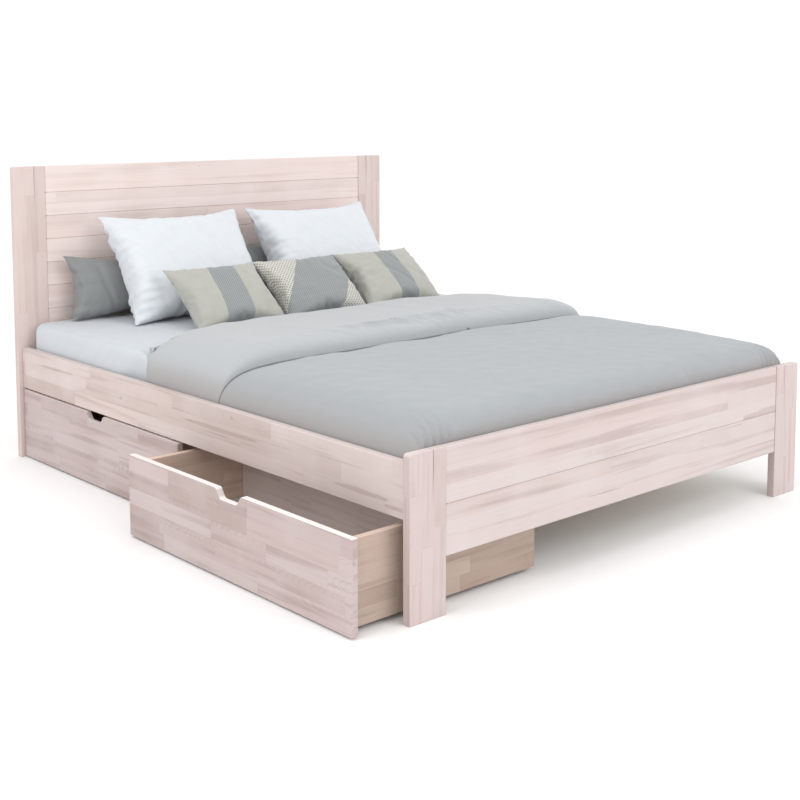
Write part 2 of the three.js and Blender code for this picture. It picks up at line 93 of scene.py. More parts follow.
class BedColourSettings(bpy.types.PropertyGroup):
    """Colours of the bed and its bedding."""

    wood_light: tone("Light stave", "Colour of the lightest whitewashed staves", (0.83, 0.70, 0.65))
    wood_dark: tone("Dark stave", "Colour of the darkest whitewashed staves", (0.64, 0.50, 0.44))
    wood_inside: tone("Drawer inside", "Colour of the oiled wood inside the drawers", (0.50, 0.395, 0.33))
    sheet: tone("Sheet", "Colour of the white bed linen", (0.575, 0.605, 0.64))
    duvet: tone("Duvet", "Colour of the duvet cover", (0.355, 0.38, 0.40))
    band: tone("Band", "Colour of the turned-back band", (0.445, 0.463, 0.475))
    # Painted shade, not a cloth of its own: the duvet's sides are mixed towards this darker, warmer colour
    # low down.
    low_side_shade: tone("Skirt", "Colour low on the duvet's sides", (0.335, 0.31, 0.30))
    pillowcase: tone("Pillowcase", "Colour of the white pillows", (0.70, 0.73, 0.765))
    dark_cloth: tone("Dark cloth", "Colour of the dark pillows", (0.25, 0.26, 0.26))
    pale_cloth: tone("Pale cloth", "Colour of the small cushions", (0.44, 0.44, 0.40))
    stripe: tone("Stripe", "Colour of the woven stripe", (0.225, 0.24, 0.24))


class BedStageSettings(bpy.types.PropertyGroup):
    """Camera and light."""

    camera_place: bpy.props.FloatVectorProperty(
        name="Camera place",
        description="Where the camera stands",
        subtype="TRANSLATION",
        unit="LENGTH",
        default=(-2.8655, -3.2571, 1.2381),
    )
    camera_turn: bpy.props.FloatProperty(
        name="Camera turn",
        description="Turn of the camera to the right of the line from foot to head",
        subtype="ANGLE",
        default=math.radians(41.878),
    )
    camera_dip: bpy.props.FloatProperty(
        name="Camera dip",
        description="Downward tilt of the camera",
        subtype="ANGLE",
        default=math.radians(5.85),
    )
    lens: bpy.props.FloatProperty(
        name="Lens", description="Focal length on a 36 mm sensor, in millimetres", default=58.78, min=1.0
    )
    rise: bpy.props.FloatProperty(
        name="Rise", description="Vertical lens shift, as a share of the picture", default=-0.2
    )
    world_strength: bpy.props.FloatProperty(
        name="World strength", description="Strength of the even white light", default=1.06, min=0.0
    )
    key_power: bpy.props.FloatProperty(
        name="Key power", description="Power of the large soft light, in watts", default=62.0, min=0.0
    )


def settings(kind):
    """The scene's settings of one kind: cloth, colours or stage."""
    return getattr(bpy.context.scene, "bed_" + kind)


# ---- Surfaces


def grid_quads(index):
    """Quads over a grid of vertex numbers, each wound so that rows run along the first side."""
    corners = (index[:-1, :-1], index[1:, :-1], index[1:, 1:], index[:-1, 1:])
    return np.stack(corners, axis=-1).reshape(-1, 4)


def put_mesh(name, points, quads, uv=None, triangles=None):
    """A smooth mesh object at the origin, from points, quads and triangles, with a UV per vertex."""
    faces = quads.tolist() + ([] if triangles is None else triangles.tolist())
    mesh = bpy.data.meshes.new(name)
    mesh.from_pydata(np.asarray(points, float).tolist(), [], faces)
    mesh.polygons.foreach_set("use_smooth", np.ones(len(faces), bool))
    if uv is not None:
        layer = mesh.uv_layers.new(name="cloth")
        vertex = np.zeros(len(mesh.loops), np.int32)
        mesh.loops.foreach_get("vertex_index", vertex)
        layer.data.foreach_set("uv", np.asarray(uv, np.float32)[vertex].ravel())
    mesh.update()
    piece = bpy.data.objects.new(name, mesh)
    bpy.context.scene.collection.objects.link(piece)
    return piece


def mesh_points(mesh):
    """A mesh's vertex positions as an array."""
    points = np.zeros(len(mesh.vertices) * 3, np.float32)
    mesh.vertices.foreach_get("co", points)
    return points.reshape(-1, 3).astype(float)


def smooth_curve(controls, count):
    """Points at even distances along a Catmull-Rom curve through the control points."""
    controls = np.asarray(controls, float)
    padded = np.vstack([2 * controls[0] - controls[1], controls, 2 * controls[-1] - controls[-2]])
    t = np.linspace(0, 1, 40, endpoint=False)[None, :, None]
    p0, p1, p2, p3 = (padded[k : k + len(controls) - 1][:, None, :] for k in range(4))
    curve = 0.5 * (
        2 * p1 + (p2 - p0) * t + (2 * p0 - 5 * p1 + 4 * p2 - p3) * t**2 + (3 * p1 - p0 - 3 * p2 + p3) * t**3
    )
    dense = np.vstack([curve.reshape(-1, controls.shape[1]), controls[-1]])
    return even_steps(dense, count)


def travelled(curve, scale=1.0):
    """How far along a curve each of its points is, with each axis weighed by its scale."""
    return np.concatenate([[0], np.cumsum(np.linalg.norm(np.diff(curve * scale, axis=0), axis=1))])


def even_steps(dense, count, scale=1.0):
    """Points at even distances along a dense curve, with each axis weighed by its scale."""
    passed = travelled(dense, scale)
    wanted = np.linspace(0, passed[-1], count)
    return np.stack([np.interp(wanted, passed, dense[:, k]) for k in range(dense.shape[1])], axis=1)


def waves(x, y, length, seed, stretch=(1.0, 1.0)):
    """Soft random waves of about one wavelength.

    They are the sum of 14 plane waves in seeded directions and phases, over the square root of 14.
    """
    draw = np.random.default_rng(seed)
    total = np.zeros_like(x, dtype=float)
    count, circle = 14, 2 * math.pi
    spans = ((0, circle), (0, circle), (0.7, 1.5))
    turns, phases, scales = (draw.uniform(low, high, count) for low, high in spans)
    for turn, phase, scale in zip(turns, phases, scales):
        along = x * math.cos(turn) / stretch[0] + y * math.sin(turn) / stretch[1]
        total += np.sin(circle * scale * along / length + phase)
    return total / math.sqrt(count)


def step_up(value, low, high):
    """0 below low and 1 above high, with an S curve between."""
    t = np.clip((value - low) / (high - low), 0, 1)
    return t * t * (3 - 2 * t)


def bell(value, width):
    """1 at zero, falling to both sides as exp(-(value / width)^2)."""
    return np.exp(-((value / width) ** 2))


def tinted(colour, factors):
    """A colour with each part multiplied by its factor, kept from 0 to 1."""
    return tuple(np.clip(np.array(colour) * factors, 0, 1))


def grid_normals(points):
    """Unit normals of a grid of points, from the cross product of its two gradients."""
    along = np.gradient(points, axis=0)
    across = np.gradient(points, axis=1)
    normal = np.cross(along, across)
    return normal / np.maximum(np.linalg.norm(normal, axis=-1, keepdims=True), 1e-12)


def subdivide(piece):
    """Adds a Subdivision Surface modifier of one level, in view and in render."""
    modifier = piece.modifiers.new("smooth", "SUBSURF")
    modifier.levels = modifier.render_levels = 1


# ---- Shader wiring


class Wiring:
    """Adds nodes to one node tree and joins them."""

    def __init__(self, tree):
        self.tree = tree

    def feed(self, socket, value):
        """Links a socket to another, or sets its own value."""
        if isinstance(value, bpy.types.NodeSocket):
            self.tree.links.new(value, socket)
        elif hasattr(value, "__len__") and len(value) == 3 and len(socket.default_value) == 4:
            socket.default_value = (*value, 1.0)
        else:
            socket.default_value = value

    def fill(self, made, inputs):
        """Feeds several inputs of one node, by name or by number."""
        for socket, value in inputs.items():
            self.feed(made.inputs[socket], value)
        return made

    def node(self, kind, inputs=None, **values):
        """A node of that kind, with its settings and its inputs."""
        made = self.tree.nodes.new("ShaderNode" + kind)
        for name, value in values.items():
            setattr(made, name, value)
        return self.fill(made, inputs or {})

    def math(self, operation, *terms, clamp=False):
        """One step of arithmetic on numbers or number sockets."""
        return self.node("Math", dict(enumerate(terms)), operation=operation, use_clamp=clamp).outputs[0]

    def plus(self, first, second):
        """The sum of two numbers."""
        return self.math("ADD", first, second)

    def minus(self, first, second):
        """The first number less the second."""
        return self.math("SUBTRACT", first, second)

    def times(self, first, second):
        """The product of two numbers."""
        return self.math("MULTIPLY", first, second)

    def times_plus(self, first, second, third, clamp=False):
        """The product of two numbers, plus a third."""
        return self.math("MULTIPLY_ADD", first, second, third, clamp=clamp)

    def vector(self, operation, *terms):
        """One step of arithmetic on vectors."""
        return self.node("VectorMath", dict(enumerate(terms)), operation=operation).outputs[0]

    def scale(self, value, factors):
        """A vector with each part multiplied by its own factor."""
        return self.vector("MULTIPLY", value, factors)

    def ramp(self, value, low, high, to_low=0.0, to_high=1.0):
        """A number taken smoothly from one range to another."""
        inputs = {0: value, 1: low, 2: high, 3: to_low, 4: to_high}
        return self.node("MapRange", inputs, interpolation_type="SMOOTHSTEP").outputs[0]

    def mix(self, factor, first, second):
        """A colour between two colours."""
        return self.node("Mix", {0: factor, 6: first, 7: second}, data_type="RGBA").outputs[2]

    def noise(self, place, size, detail=2.0, roughness=0.5, distortion=0.0):
        """Noise whose features are about one size apart."""
        inputs = {"Vector": place, "Scale": 1.0 / size, "Detail": detail, "Roughness": roughness}
        inputs["Distortion"] = distortion
        return self.node("TexNoise", inputs).outputs[0]

    def random(self, *parts):
        """A random number for each set of whole numbers."""
        joined = self.node("CombineXYZ", dict(enumerate(parts))).outputs[0]
        return self.node("TexWhiteNoise", {"Vector": joined}, noise_dimensions="3D").outputs[0]

    def parts(self, vector):
        """The three numbers of a vector."""
        return self.node("SeparateXYZ", {0: vector}).outputs

    def bump(self, height, distance, strength=1.0):
        """A normal from a height, in metres of relief at full height."""
        return self.node("Bump", {"Height": height, "Distance": distance, "Strength": strength}).outputs[0]


def new_group(name, inputs, outputs):
    """An empty shader node group: its wiring, its input sockets and its output node.

    It takes a Place and the numbers named in inputs, and gives the numbers named in outputs.
    """
    tree = bpy.data.node_groups.new(name, "ShaderNodeTree")
    tree.interface.new_socket(name="Place", in_out="INPUT", socket_type="NodeSocketVector")
    for way, labels in (("INPUT", inputs), ("OUTPUT", outputs)):
        for label in labels.split():
            tree.interface.new_socket(name=label, in_out=way, socket_type="NodeSocketFloat")
    entry = tree.nodes.new("NodeGroupInput")
    leave = tree.nodes.new("NodeGroupOutput")
    return Wiring(tree), entry.outputs, leave


def use_group(wiring, name, inputs):
    """A shared group placed in a material with its own values: its output sockets."""
    made = wiring.tree.nodes.new("ShaderNodeGroup")
    made.node_tree = bpy.data.node_groups[name]
    return wiring.fill(made, inputs).outputs


def new_material(name):
    """A material with a Principled shader: the material, its wiring and the shader."""
    material = bpy.data.materials.new(name)
    material.use_nodes = True
    shader = material.node_tree.nodes["Principled BSDF"]
    return material, Wiring(material.node_tree), shader


def dress(piece, material):
    """Gives a piece one material in every slot."""
    slots = piece.data.materials
    if not slots:
        slots.append(material)
    for index in range(len(slots)):
        slots[index] = material


def stave_group():
    """Glued beech staves: rows of one width, cut square to random lengths, each with its own tint.

    Place has the grain along X and the rows along Y. Grain is long faint streaks, with rings added by Arch:
    thin lines of equal (distance along the stave + 120 times the square of the distance from its own
    centre line), which draws nested arches 28 mm apart. Fleck is the short dark rays of beech, Mark rare
    brown mineral lines and pin knots, and Joint the glue lines. A Streak under 1 makes the streaks longer
    and broader.
    """
    bend, ring_spacing = 120.0, 0.028
    outputs = "Tint Hue Grain Fleck Mark Joint Height"
    wire, given, leave = new_group("beech_staves", "Width Length Seed Arch Streak", outputs)
    along, across, depth = wire.parts(given["Place"])[:3]
    seed = given["Seed"]
    row = wire.math("FLOOR", wire.math("DIVIDE", across, given["Width"]))
    row_draw = wire.random(row, seed, 3.0)
    length = wire.times(given["Length"], wire.times_plus(row_draw, 0.7, 0.65))
    start = wire.times(wire.random(row, seed, 8.0), given["Length"])
    along_row = wire.plus(along, wire.plus(start, 40.0))
    cell = wire.math("DIVIDE", along_row, length)
    column = wire.math("FLOOR", cell)
    tint = wire.random(row, column, seed)
    hue = wire.random(row, column, wire.plus(seed, 0.5))
    jump = wire.times(wire.random(row, column, wire.plus(seed, 0.25)), 9.0)
    own_place = wire.node("CombineXYZ", {0: along, 1: wire.plus(across, jump), 2: depth}).outputs[0]
    fine = wire.noise(wire.scale(own_place, (0.03, 1.0, 1.0)), 0.0045, 5.0, 0.65, 0.12)
    drawn_out = wire.scale(wire.scale(own_place, (0.038, 1.0, 1.0)), given["Streak"])
    broad = wire.noise(drawn_out, 0.021, 3.0, 0.55, 0.25)
    centre = wire.times(wire.minus(hue, 0.5), wire.times(given["Width"], 1.7))
    from_row = wire.minus(across, wire.times(row, given["Width"]))
    off_centre = wire.minus(wire.minus(from_row, wire.times(given["Width"], 0.5)), centre)
    bow = wire.times(wire.times(off_centre, off_centre), bend)
    sway = wire.noise(wire.scale(own_place, (0.30, 1.0, 1.0)), 0.045)
    toward = wire.times_plus(wire.math("GREATER_THAN", hue, 0.5), 2.0, -1.0)
    cone = wire.plus(wire.times_plus(along, toward, bow), wire.times(sway, 0.09))
    ring = wire.math("SINE", wire.times(cone, 2 * math.pi / ring_spacing))
    arches = wire.math("POWER", wire.times_plus(ring, 0.5, 0.5), 3.0)
    arches = wire.times(arches, wire.ramp(broad, 0.40, 0.62))
    bands = wire.ramp(broad, 0.50, 0.68, 0.0, 0.85)
    grain = wire.plus(bands, wire.ramp(fine, 0.42, 0.70, 0.0, 0.24))
    grain = wire.times_plus(arches, given["Arch"], grain, clamp=True)
    rays = wire.noise(wire.scale(own_place, (0.16, 1.0, 1.0)), 0.0007, 1.0, 0.5)
    fleck = wire.ramp(rays, 0.60, 0.72)
    lines = wire.noise(wire.scale(own_place, (0.016, 1.0, 1.0)), 0.0075, 2.0, 0.5, 0.1)
    pin = wire.node("TexVoronoi", {"Vector": wire.scale(own_place, (0.75, 1.0, 1.0)), "Scale": 5.5}).outputs
    lucky = wire.math("GREATER_THAN", wire.parts(pin[1])[0], 0.62)
    knot = wire.times(wire.ramp(pin[0], 0.012, 0.034, 1.0, 0.0), lucky)
    mark = wire.math("MAXIMUM", wire.ramp(lines, 0.700, 0.775), knot)
    to_row = wire.math("PINGPONG", across, wire.times(given["Width"], 0.5))
    row_line = wire.ramp(to_row, 0.0, 0.0007, 1.0, 0.0)
    to_cut = wire.times(wire.math("PINGPONG", cell, 0.5), length)
    cut_line = wire.ramp(to_cut, 0.0, 0.0009, 1.0, 0.0)
    joint = wire.math("MAXIMUM", wire.times(row_line, 0.5), cut_line)
    height = wire.minus(wire.times(fine, 0.5), wire.times(joint, 0.6))
    height = wire.minus(height, wire.times(fleck, 0.4))
    wire.fill(leave, dict(enumerate((tint, hue, grain, fleck, mark, joint, height))))


def weave_group():
    """Plain woven cloth: two crossed sets of threads and slow unevenness, over metres on the cloth."""
    wire, given, leave = new_group("plain_weave", "Thread", "Threads Uneven Height")
    x, y = wire.parts(given["Place"])[:2]
    turn = wire.math("DIVIDE", 2 * math.pi, given["Thread"])
    warp = wire.math("SINE", wire.times(x, turn))
    weft = wire.math("SINE", wire.times(y, turn))
    threads = wire.times_plus(wire.times(warp, weft), 0.5, 0.5)
    uneven = wire.noise(given["Place"], 0.045, 3.0, 0.55)
    slubs = wire.noise(wire.scale(given["Place"], (0.2, 1.0, 1.0)), 0.003)
    height = wire.plus(wire.times(threads, 0.5), wire.times(slubs, 0.5))
    wire.fill(leave, {0: threads, 1: uneven, 2: height})


def waffle_group():
    """Honeycomb cloth: square cells with raised walls and dark pits. Place is in metres on the cloth."""
    wire, given, leave = new_group("honeycomb_weave", "Cell", "Pit Height")
    x, y = wire.parts(given["Place"])[:2]
    turn = wire.math("DIVIDE", math.pi, given["Cell"])
    across = wire.math("ABSOLUTE", wire.math("SINE", wire.times(wire.plus(x, y), turn)))
    along = wire.math("ABSOLUTE", wire.math("SINE", wire.times(wire.minus(x, y), turn)))
    bowl = wire.times(across, along)
    wire.fill(leave, {0: wire.ramp(bowl, 0.45, 0.85), 1: wire.minus(1.0, bowl)})


def wood_material(node, light, dark, seed, look):
    """Whitewashed beech for one board, with the grain along its longest side and whole staves across it.

    look holds the stave width and length in metres, the contrast, the arch share, the streaks, how dark the
    glue lines are, how strongly faces that point upward take a painted highlight and its colour, the
    roughness, how far from a post's outer edge its open joint is (0 for none), and marks. These are brown
    mineral streaks as (distance from the low end, height, half length, half height).
    """
    low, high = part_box(node)
    size = high - low
    along, across, depth = sorted(range(3), key=lambda axis: -size[axis])
    rows = max(1, round(size[across] / look["stave"]))
    material, wire, shader = new_material("wood_" + node)
    place = wire.node("TexCoord").outputs["Object"]
    from_corner = wire.parts(wire.vector("SUBTRACT", place, tuple(low)))
    turned = wire.node("CombineXYZ", {0: from_corner[along], 1: from_corner[across], 2: from_corner[depth]})
    inputs = {"Place": turned.outputs[0], "Width": size[across] / rows, "Length": look["length"]}
    inputs.update({"Seed": float(seed), "Arch": look["arch"], "Streak": look["streak"]})
    stave_of = use_group(wire, "beech_staves", inputs)
    contrast = look["contrast"]
    spread = wire.times(wire.math("POWER", stave_of["Tint"], 2.4), 0.85 * contrast)
    colour = wire.mix(spread, light, dark)
    pink = tinted(light, (1.02, 0.955, 0.94))
    colour = wire.mix(wire.ramp(stave_of["Hue"], 0.45, 1.0, 0.0, 0.55), colour, pink)
    shade, deep = tinted(dark, (0.84, 0.81, 0.83)), tinted(dark, (0.58, 0.47, 0.42))
    layers = [("Grain", 0.50 * contrast, shade), ("Fleck", 0.20, deep), ("Mark", 0.60 * contrast, deep)]
    for part, strength, stain in (*layers, ("Joint", look["glue"], deep)):
        colour = wire.mix(wire.times(stave_of[part], strength), colour, stain)
    wash = wire.noise(place, 0.20, 3.0, 0.5)
    pale = tinted(light, (1.05, 1.09, 1.11))
    colour = wire.mix(wire.ramp(wash, 0.38, 0.70, 0.0, 0.40), colour, pale)
    if look["check"]:
        spot = look["check"] if low.x < 0 else size[across] - look["check"]
        wander = wire.times(wire.noise(place, 0.08, 1.0, 0.5), 0.004)
        off_line = wire.minus(wire.plus(from_corner[across], wander), spot + 0.002)
        line = wire.ramp(wire.math("ABSOLUTE", off_line), 0.0006, 0.0026, 1.0, 0.0)
        upper = wire.ramp(from_corner[along], size[along] - 0.17, size[along] - 0.03, 0.0, 0.75)
        colour = wire.mix(wire.times(line, upper), colour, deep)
    for reach, rise, half_length, half_height in look["marks"]:
        u = wire.math("DIVIDE", wire.minus(from_corner[along], reach), half_length)
        v = wire.math("DIVIDE", wire.minus(from_corner[across], rise), half_height)
        ring = wire.plus(wire.times(u, u), wire.times(v, v))
        rough_edge = wire.noise(wire.scale(place, (1.0, 0.3, 1.0)), 0.008, 3.0, 0.6)
        ragged = wire.times_plus(rough_edge, 1.9, ring)
        rim = wire.ramp(wire.math("ABSOLUTE", wire.minus(ragged, 1.9)), 0.05, 0.60, 0.42, 0.0)
        colour = wire.mix(wire.math("MAXIMUM", rim, wire.ramp(ragged, 1.2, 2.0, 0.34, 0.0)), colour, deep)
    # Painted highlight: faces are mixed towards a lighter colour as their normal turns upward, as if lit
    # from above.
    upward = wire.parts(wire.node("NewGeometry").outputs["Normal"])[2]
    colour = wire.mix(wire.ramp(upward, 0.30, 0.85, 0.0, look["edge"]), colour, look["top_highlight_colour"])
    rough = wire.ramp(stave_of["Grain"], 0.0, 1.0, look["rough"] - 0.05, look["rough"] + 0.08)
    relief = wire.bump(stave_of["Height"], 0.0004, 0.35)
    wire.fill(shader, {"Base Color": colour, "Roughness": rough, "Normal": relief})
    wire.fill(shader, {"Specular IOR Level": 0.35})
    return material


def cloth_place(wire):
    """The cloth's own coordinates, in metres."""
    return wire.node("UVMap", uv_map="cloth").outputs[0]


def cloth_material(name, colour, thread=0.0011, relief=0.00035, sheen=0.25, finish=None):
    """Woven cotton. finish(wire, place, colour) may change the cloth's colour, and gives the new one."""
    material, wire, shader = new_material(name)
    place = cloth_place(wire)
    weave = use_group(wire, "plain_weave", {"Place": place, "Thread": thread})
    base = wire.mix(wire.ramp(weave["Uneven"], 0.3, 0.75, 0.0, 0.5), colour, tinted(colour, 0.93))
    if finish is not None:
        base = finish(wire, place, base)
    base = wire.mix(wire.times(weave["Threads"], 0.10), base, tinted(colour, 0.72))
    rough = wire.ramp(weave["Uneven"], 0.2, 0.8, 0.82, 0.94)
    normal = wire.bump(weave["Height"], relief, 0.6)
    wire.fill(shader, {"Base Color": base, "Roughness": rough, "Normal": normal})
    wire.fill(shader, {"Sheen Weight": sheen, "Sheen Roughness": 0.5, "Specular IOR Level": 0.25})
    return material


# ---- Frame finishes


# The edge entries set a painted highlight on faces that point upward: its strength and its colour.
PLAIN = {
    "stave": 0.041, "length": 2.2, "contrast": 0.6, "arch": 0.08, "streak": 1.0, "glue": 0.22, "edge": 0.35,
    "top_highlight_colour": (0.80, 0.72, 0.69), "rough": 0.52, "tint": (1.0, 1.0, 1.0), "check": 0.0, "marks": (),
}
RAIL_MARKS = (
    (1.76, 0.10, 0.10, 0.0035), (1.34, 0.075, 0.008, 0.0045), (0.79, 0.075, 0.17, 0.0055),
    (0.73, 0.12, 0.006, 0.0045), (0.17, 0.036, 0.09, 0.0055), (0.04, 0.022, 0.04, 0.0045),
)
BOARD_LOOKS = {
    "headboard": {**PLAIN, "contrast": 0.62, "streak": 0.8, "tint": (0.945, 0.965, 0.99)},
    "head_post": {
        **PLAIN, "length": 0.55, "contrast": 0.7, "glue": 0.30, "tint": (0.82, 0.81, 0.82), "check": 0.078,
    },
    "footboard": {**PLAIN, "contrast": 1.2, "streak": 0.55, "tint": (0.75, 0.775, 0.81)},
    "foot_post": {
        **PLAIN, "length": 0.30, "contrast": 0.8, "glue": 0.30, "tint": (0.73, 0.73, 0.76), "check": 0.076,
    },
    "side_rail": {
        **PLAIN, "length": 0.40, "contrast": 1.1, "arch": 0.20, "tint": (0.765, 0.77, 0.79),
        "marks": RAIL_MARKS,
    },
}
FRONT_LOOK = {
    **PLAIN, "stave": 0.048, "length": 0.33, "contrast": 1.3, "arch": 0.75, "streak": 0.8, "edge": 0.9,
    "top_highlight_colour": (0.90, 0.84, 0.82), "tint": (0.65, 0.645, 0.675),
}
WALL_LOOK = {
    **PLAIN, "stave": 0.045, "length": 0.30, "contrast": 1.1, "arch": 0.25, "edge": 0.75,
    "top_highlight_colour": (0.74, 0.58, 0.49), "rough": 0.48,
}
# Painted light: this drawer wall gets the inside wood 1.6 times lighter, standing in for light falling into
# the open drawer.
PAINTED_LIGHT_WALL, PAINTED_LIGHT_FACTOR = "foot_drawer_side_head", 1.6
FLOOR_LOOK = {**PLAIN, "stave": 0.6, "length": 3.0, "contrast": 0.4, "glue": 0.0, "edge": 0.0}
RAW_LOOK = {**PLAIN, "stave": 0.07, "length": 3.0, "contrast": 0.9, "glue": 0.1, "edge": 0.0, "rough": 0.62}
RAW_WOOD = ((0.66, 0.54, 0.39), (0.56, 0.43, 0.28))
BACK_WOOD = ((0.66, 0.58, 0.56), (0.54, 0.46, 0.44))
DIVIDER_WOOD = ((0.80, 0.70, 0.665), (0.66, 0.57, 0.54))
PANEL = ((0.72, 0.70, 0.68), (0.66, 0.64, 0.62))
PLASTIC_COLOURS = {"housing": (0.035, 0.036, 0.04), "wheel": (0.11, 0.115, 0.12)}
SLAT_PITCH, STRAP_THICKNESS, RIB_PITCH = 0.147, 0.0012, 0.003


def outer_wood_nodes():
    """Every board of the headboard, footboard and side rails, in name order."""
    return sorted(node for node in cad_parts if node.startswith(tuple(BOARD_LOOKS)))


def drawer_nodes(ending):
    """The nodes of both drawers whose names hold that ending."""
    return sorted(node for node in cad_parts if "_drawer_" in node and ending in node)


def finish_boards(nodes, light, dark, seed, look):
    """Dresses each board in its own wood, with seeds that count up from seed."""
    for number, node in enumerate(nodes):
        dress(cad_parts[node], wood_material(node, light, dark, seed + number, look))


def slat_material():
    """Planed softwood slats, with the webbing straps on top in dark woven tape."""
    material, wire, shader = new_material("slat_and_tape")
    place = wire.node("TexCoord").outputs["Object"]
    stretched = wire.scale(place, (0.05, 1.0, 1.0))
    grain = wire.noise(stretched, 0.006, 4.0, 0.6, 0.3)
    own = wire.random(wire.math("FLOOR", wire.math("DIVIDE", wire.parts(place)[1], SLAT_PITCH)), 1.0, 2.0)
    wood = wire.mix(own, (0.72, 0.58, 0.40), (0.64, 0.48, 0.30))
    wood = wire.mix(wire.ramp(grain, 0.4, 0.7, 0.0, 0.4), wood, (0.48, 0.33, 0.19))
    strap_height = float(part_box("slat_mat")[1].z) - STRAP_THICKNESS
    on_strap = wire.math("GREATER_THAN", wire.parts(place)[2], strap_height)
    ribs = wire.math("SINE", wire.times(wire.parts(place)[1], 2 * math.pi / RIB_PITCH))
    tape = wire.mix(wire.times_plus(ribs, 0.2, 0.3), (0.05, 0.05, 0.055), (0.02, 0.02, 0.022))
    colour, rough = wire.mix(on_strap, wood, tape), wire.ramp(grain, 0.3, 0.8, 0.55, 0.75)
    relief = wire.bump(wire.plus(grain, ribs), 0.0003, 0.3)
    wire.fill(shader, {"Base Color": colour, "Roughness": rough, "Normal": relief})
    return material


def plastic_material(name, colour):
    """Moulded plastic with a fine even texture and faint flow marks."""
    material, wire, shader = new_material(name)
    place = wire.node("TexCoord").outputs["Object"]
    flow = wire.noise(place, 0.02)
    pebble = wire.noise(place, 0.0006, 1.0, 0.5)
    colour, rough = wire.mix(flow, colour, tinted(colour, 1.5)), wire.ramp(pebble, 0.3, 0.7, 0.42, 0.60)
    wire.fill(shader, {"Base Color": colour, "Roughness": rough, "Normal": wire.bump(pebble, 0.0001, 0.5)})
    return material


def steel_material():
    """Zinc-plated steel with soft spangles and fine scratches."""
    material, wire, shader = new_material("zinc_steel")
    place = wire.node("TexCoord").outputs["Object"]
    spangle = wire.node("TexVoronoi", {"Vector": place, "Scale": 140.0}).outputs[0]
    scratch = wire.noise(wire.scale(place, (1.0, 1.0, 0.05)), 0.0008, 2.0, 0.6)
    colour = wire.mix(spangle, (0.66, 0.67, 0.68), (0.50, 0.51, 0.53))
    rough, relief = wire.ramp(scratch, 0.3, 0.8, 0.28, 0.5), wire.bump(scratch, 0.0001, 0.4)
    wire.fill(shader, {"Base Color": colour, "Roughness": rough, "Normal": relief, "Metallic": 1.0})
    return material


class BED_OT_timber(bpy.types.Operator):
    """Finishes the headboard, footboard, rails and the hidden supports."""

    bl_idname = "bed.timber"
    bl_label = "Finish the timber"

    def execute(self, context):
        colours = settings("colours")
        for seed, node in enumerate(outer_wood_nodes()):
            family = next(name for name in BOARD_LOOKS if node.startswith(name))
            look = BOARD_LOOKS[family]
            light, dark = tinted(colours.wood_light, look["tint"]), tinted(colours.wood_dark, look["tint"])
            finish_boards([node], light, dark, seed + 2, look)
        hidden = ("slat_ledger_left", "slat_ledger_right", "centre_beam", "centre_leg")
        finish_boards(hidden, *RAW_WOOD, 60, RAW_LOOK)
        dress(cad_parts["slat_mat"], slat_material())
        return {"FINISHED"}


class BED_OT_drawers(bpy.types.Operator):
    """Finishes both drawers: washed fronts, oiled boxes and hard panel bottoms."""

    bl_idname = "bed.drawers"
    bl_label = "Finish the drawers"

    def execute(self, context):
        colours = settings("colours")
        tint = FRONT_LOOK["tint"]
        washed = tinted(colours.wood_light, tint), tinted(colours.wood_dark, tint)
        finish_boards(("foot_drawer_front", "head_drawer_front"), *washed, 31, FRONT_LOOK)
        inside = tuple(colours.wood_inside)
        inside_dark = tinted(inside, (0.74, 0.70, 0.68))
        for number, node in enumerate(drawer_nodes("_side_")):
            # Painted light: one wall is a lighter copy of the same oiled wood.
            painted_light = PAINTED_LIGHT_FACTOR if node == PAINTED_LIGHT_WALL else 1.0
            finish_boards([node], tinted(inside, painted_light), tinted(inside_dark, painted_light), 40 + number, WALL_LOOK)
        finish_boards(("foot_drawer_back", "head_drawer_back"), *BACK_WOOD, 46, WALL_LOOK)
        finish_boards(["foot_drawer_divider"], *DIVIDER_WOOD, 49, WALL_LOOK)
        finish_boards(drawer_nodes("_bottom"), *PANEL, 50, FLOOR_LOOK)
        return {"FINISHED"}


class BED_OT_hardware(bpy.types.Operator):
    """Finishes the corner brackets, wheel housings and wheels."""

    bl_idname = "bed.hardware"
    bl_label = "Finish the hardware"

    def execute(self, context):
        steel = steel_material()
        for node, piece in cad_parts.items():
            if node.startswith("corner_bracket"):
                dress(piece, steel)
        for kind, colour in PLASTIC_COLOURS.items():
            plastic = plastic_material(kind + "_plastic", colour)
            for node in drawer_nodes(f"_{kind}_"):
                dress(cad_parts[node], plastic)
        return {"FINISHED"}


# ---- Mattress and duvet


HEM_LIFT = 0.004
SHEET_HALF_WIDTH = 0.797


def head_setback(x, share):
    """How far the duvet's head edge runs back to the foot: a little at the sides of the top, more below."""
    return 0.115 * step_up(np.abs(x), 0.42, 0.80) + 0.055 * (1 - share)


def duvet_underside(cloth, low, high, mattress_top):
    """A function of x and y that gives how high the mattress may be below the duvet, and no limit beyond.

    It follows the duvet's own two curves less its padding, and past the duvet's head edge it rises away.
    """
    across, lengthwise, edge, crown = duvet_profiles(cloth, low, high, mattress_top)
    rising = lengthwise[: np.argmax(lengthwise[:, 0] > edge - 0.06)]
    hem = low.z + HEM_LIFT

    def highest(x, y):
        share = np.interp(x, across[:, 0], across[:, 1])
        top = np.interp(y, rising[:, 0], rising[:, 1])
        head = high.y - head_setback(x, share)
        top -= (crown - mattress_top - 0.004) * step_up(y, head - 0.13, head - 0.07)
        clear = cloth.duvet_thickness + 0.005
        return hem + (top - hem) * share - clear + 0.3 * step_up(y, head - 0.008, head + 0.10)

    return highest


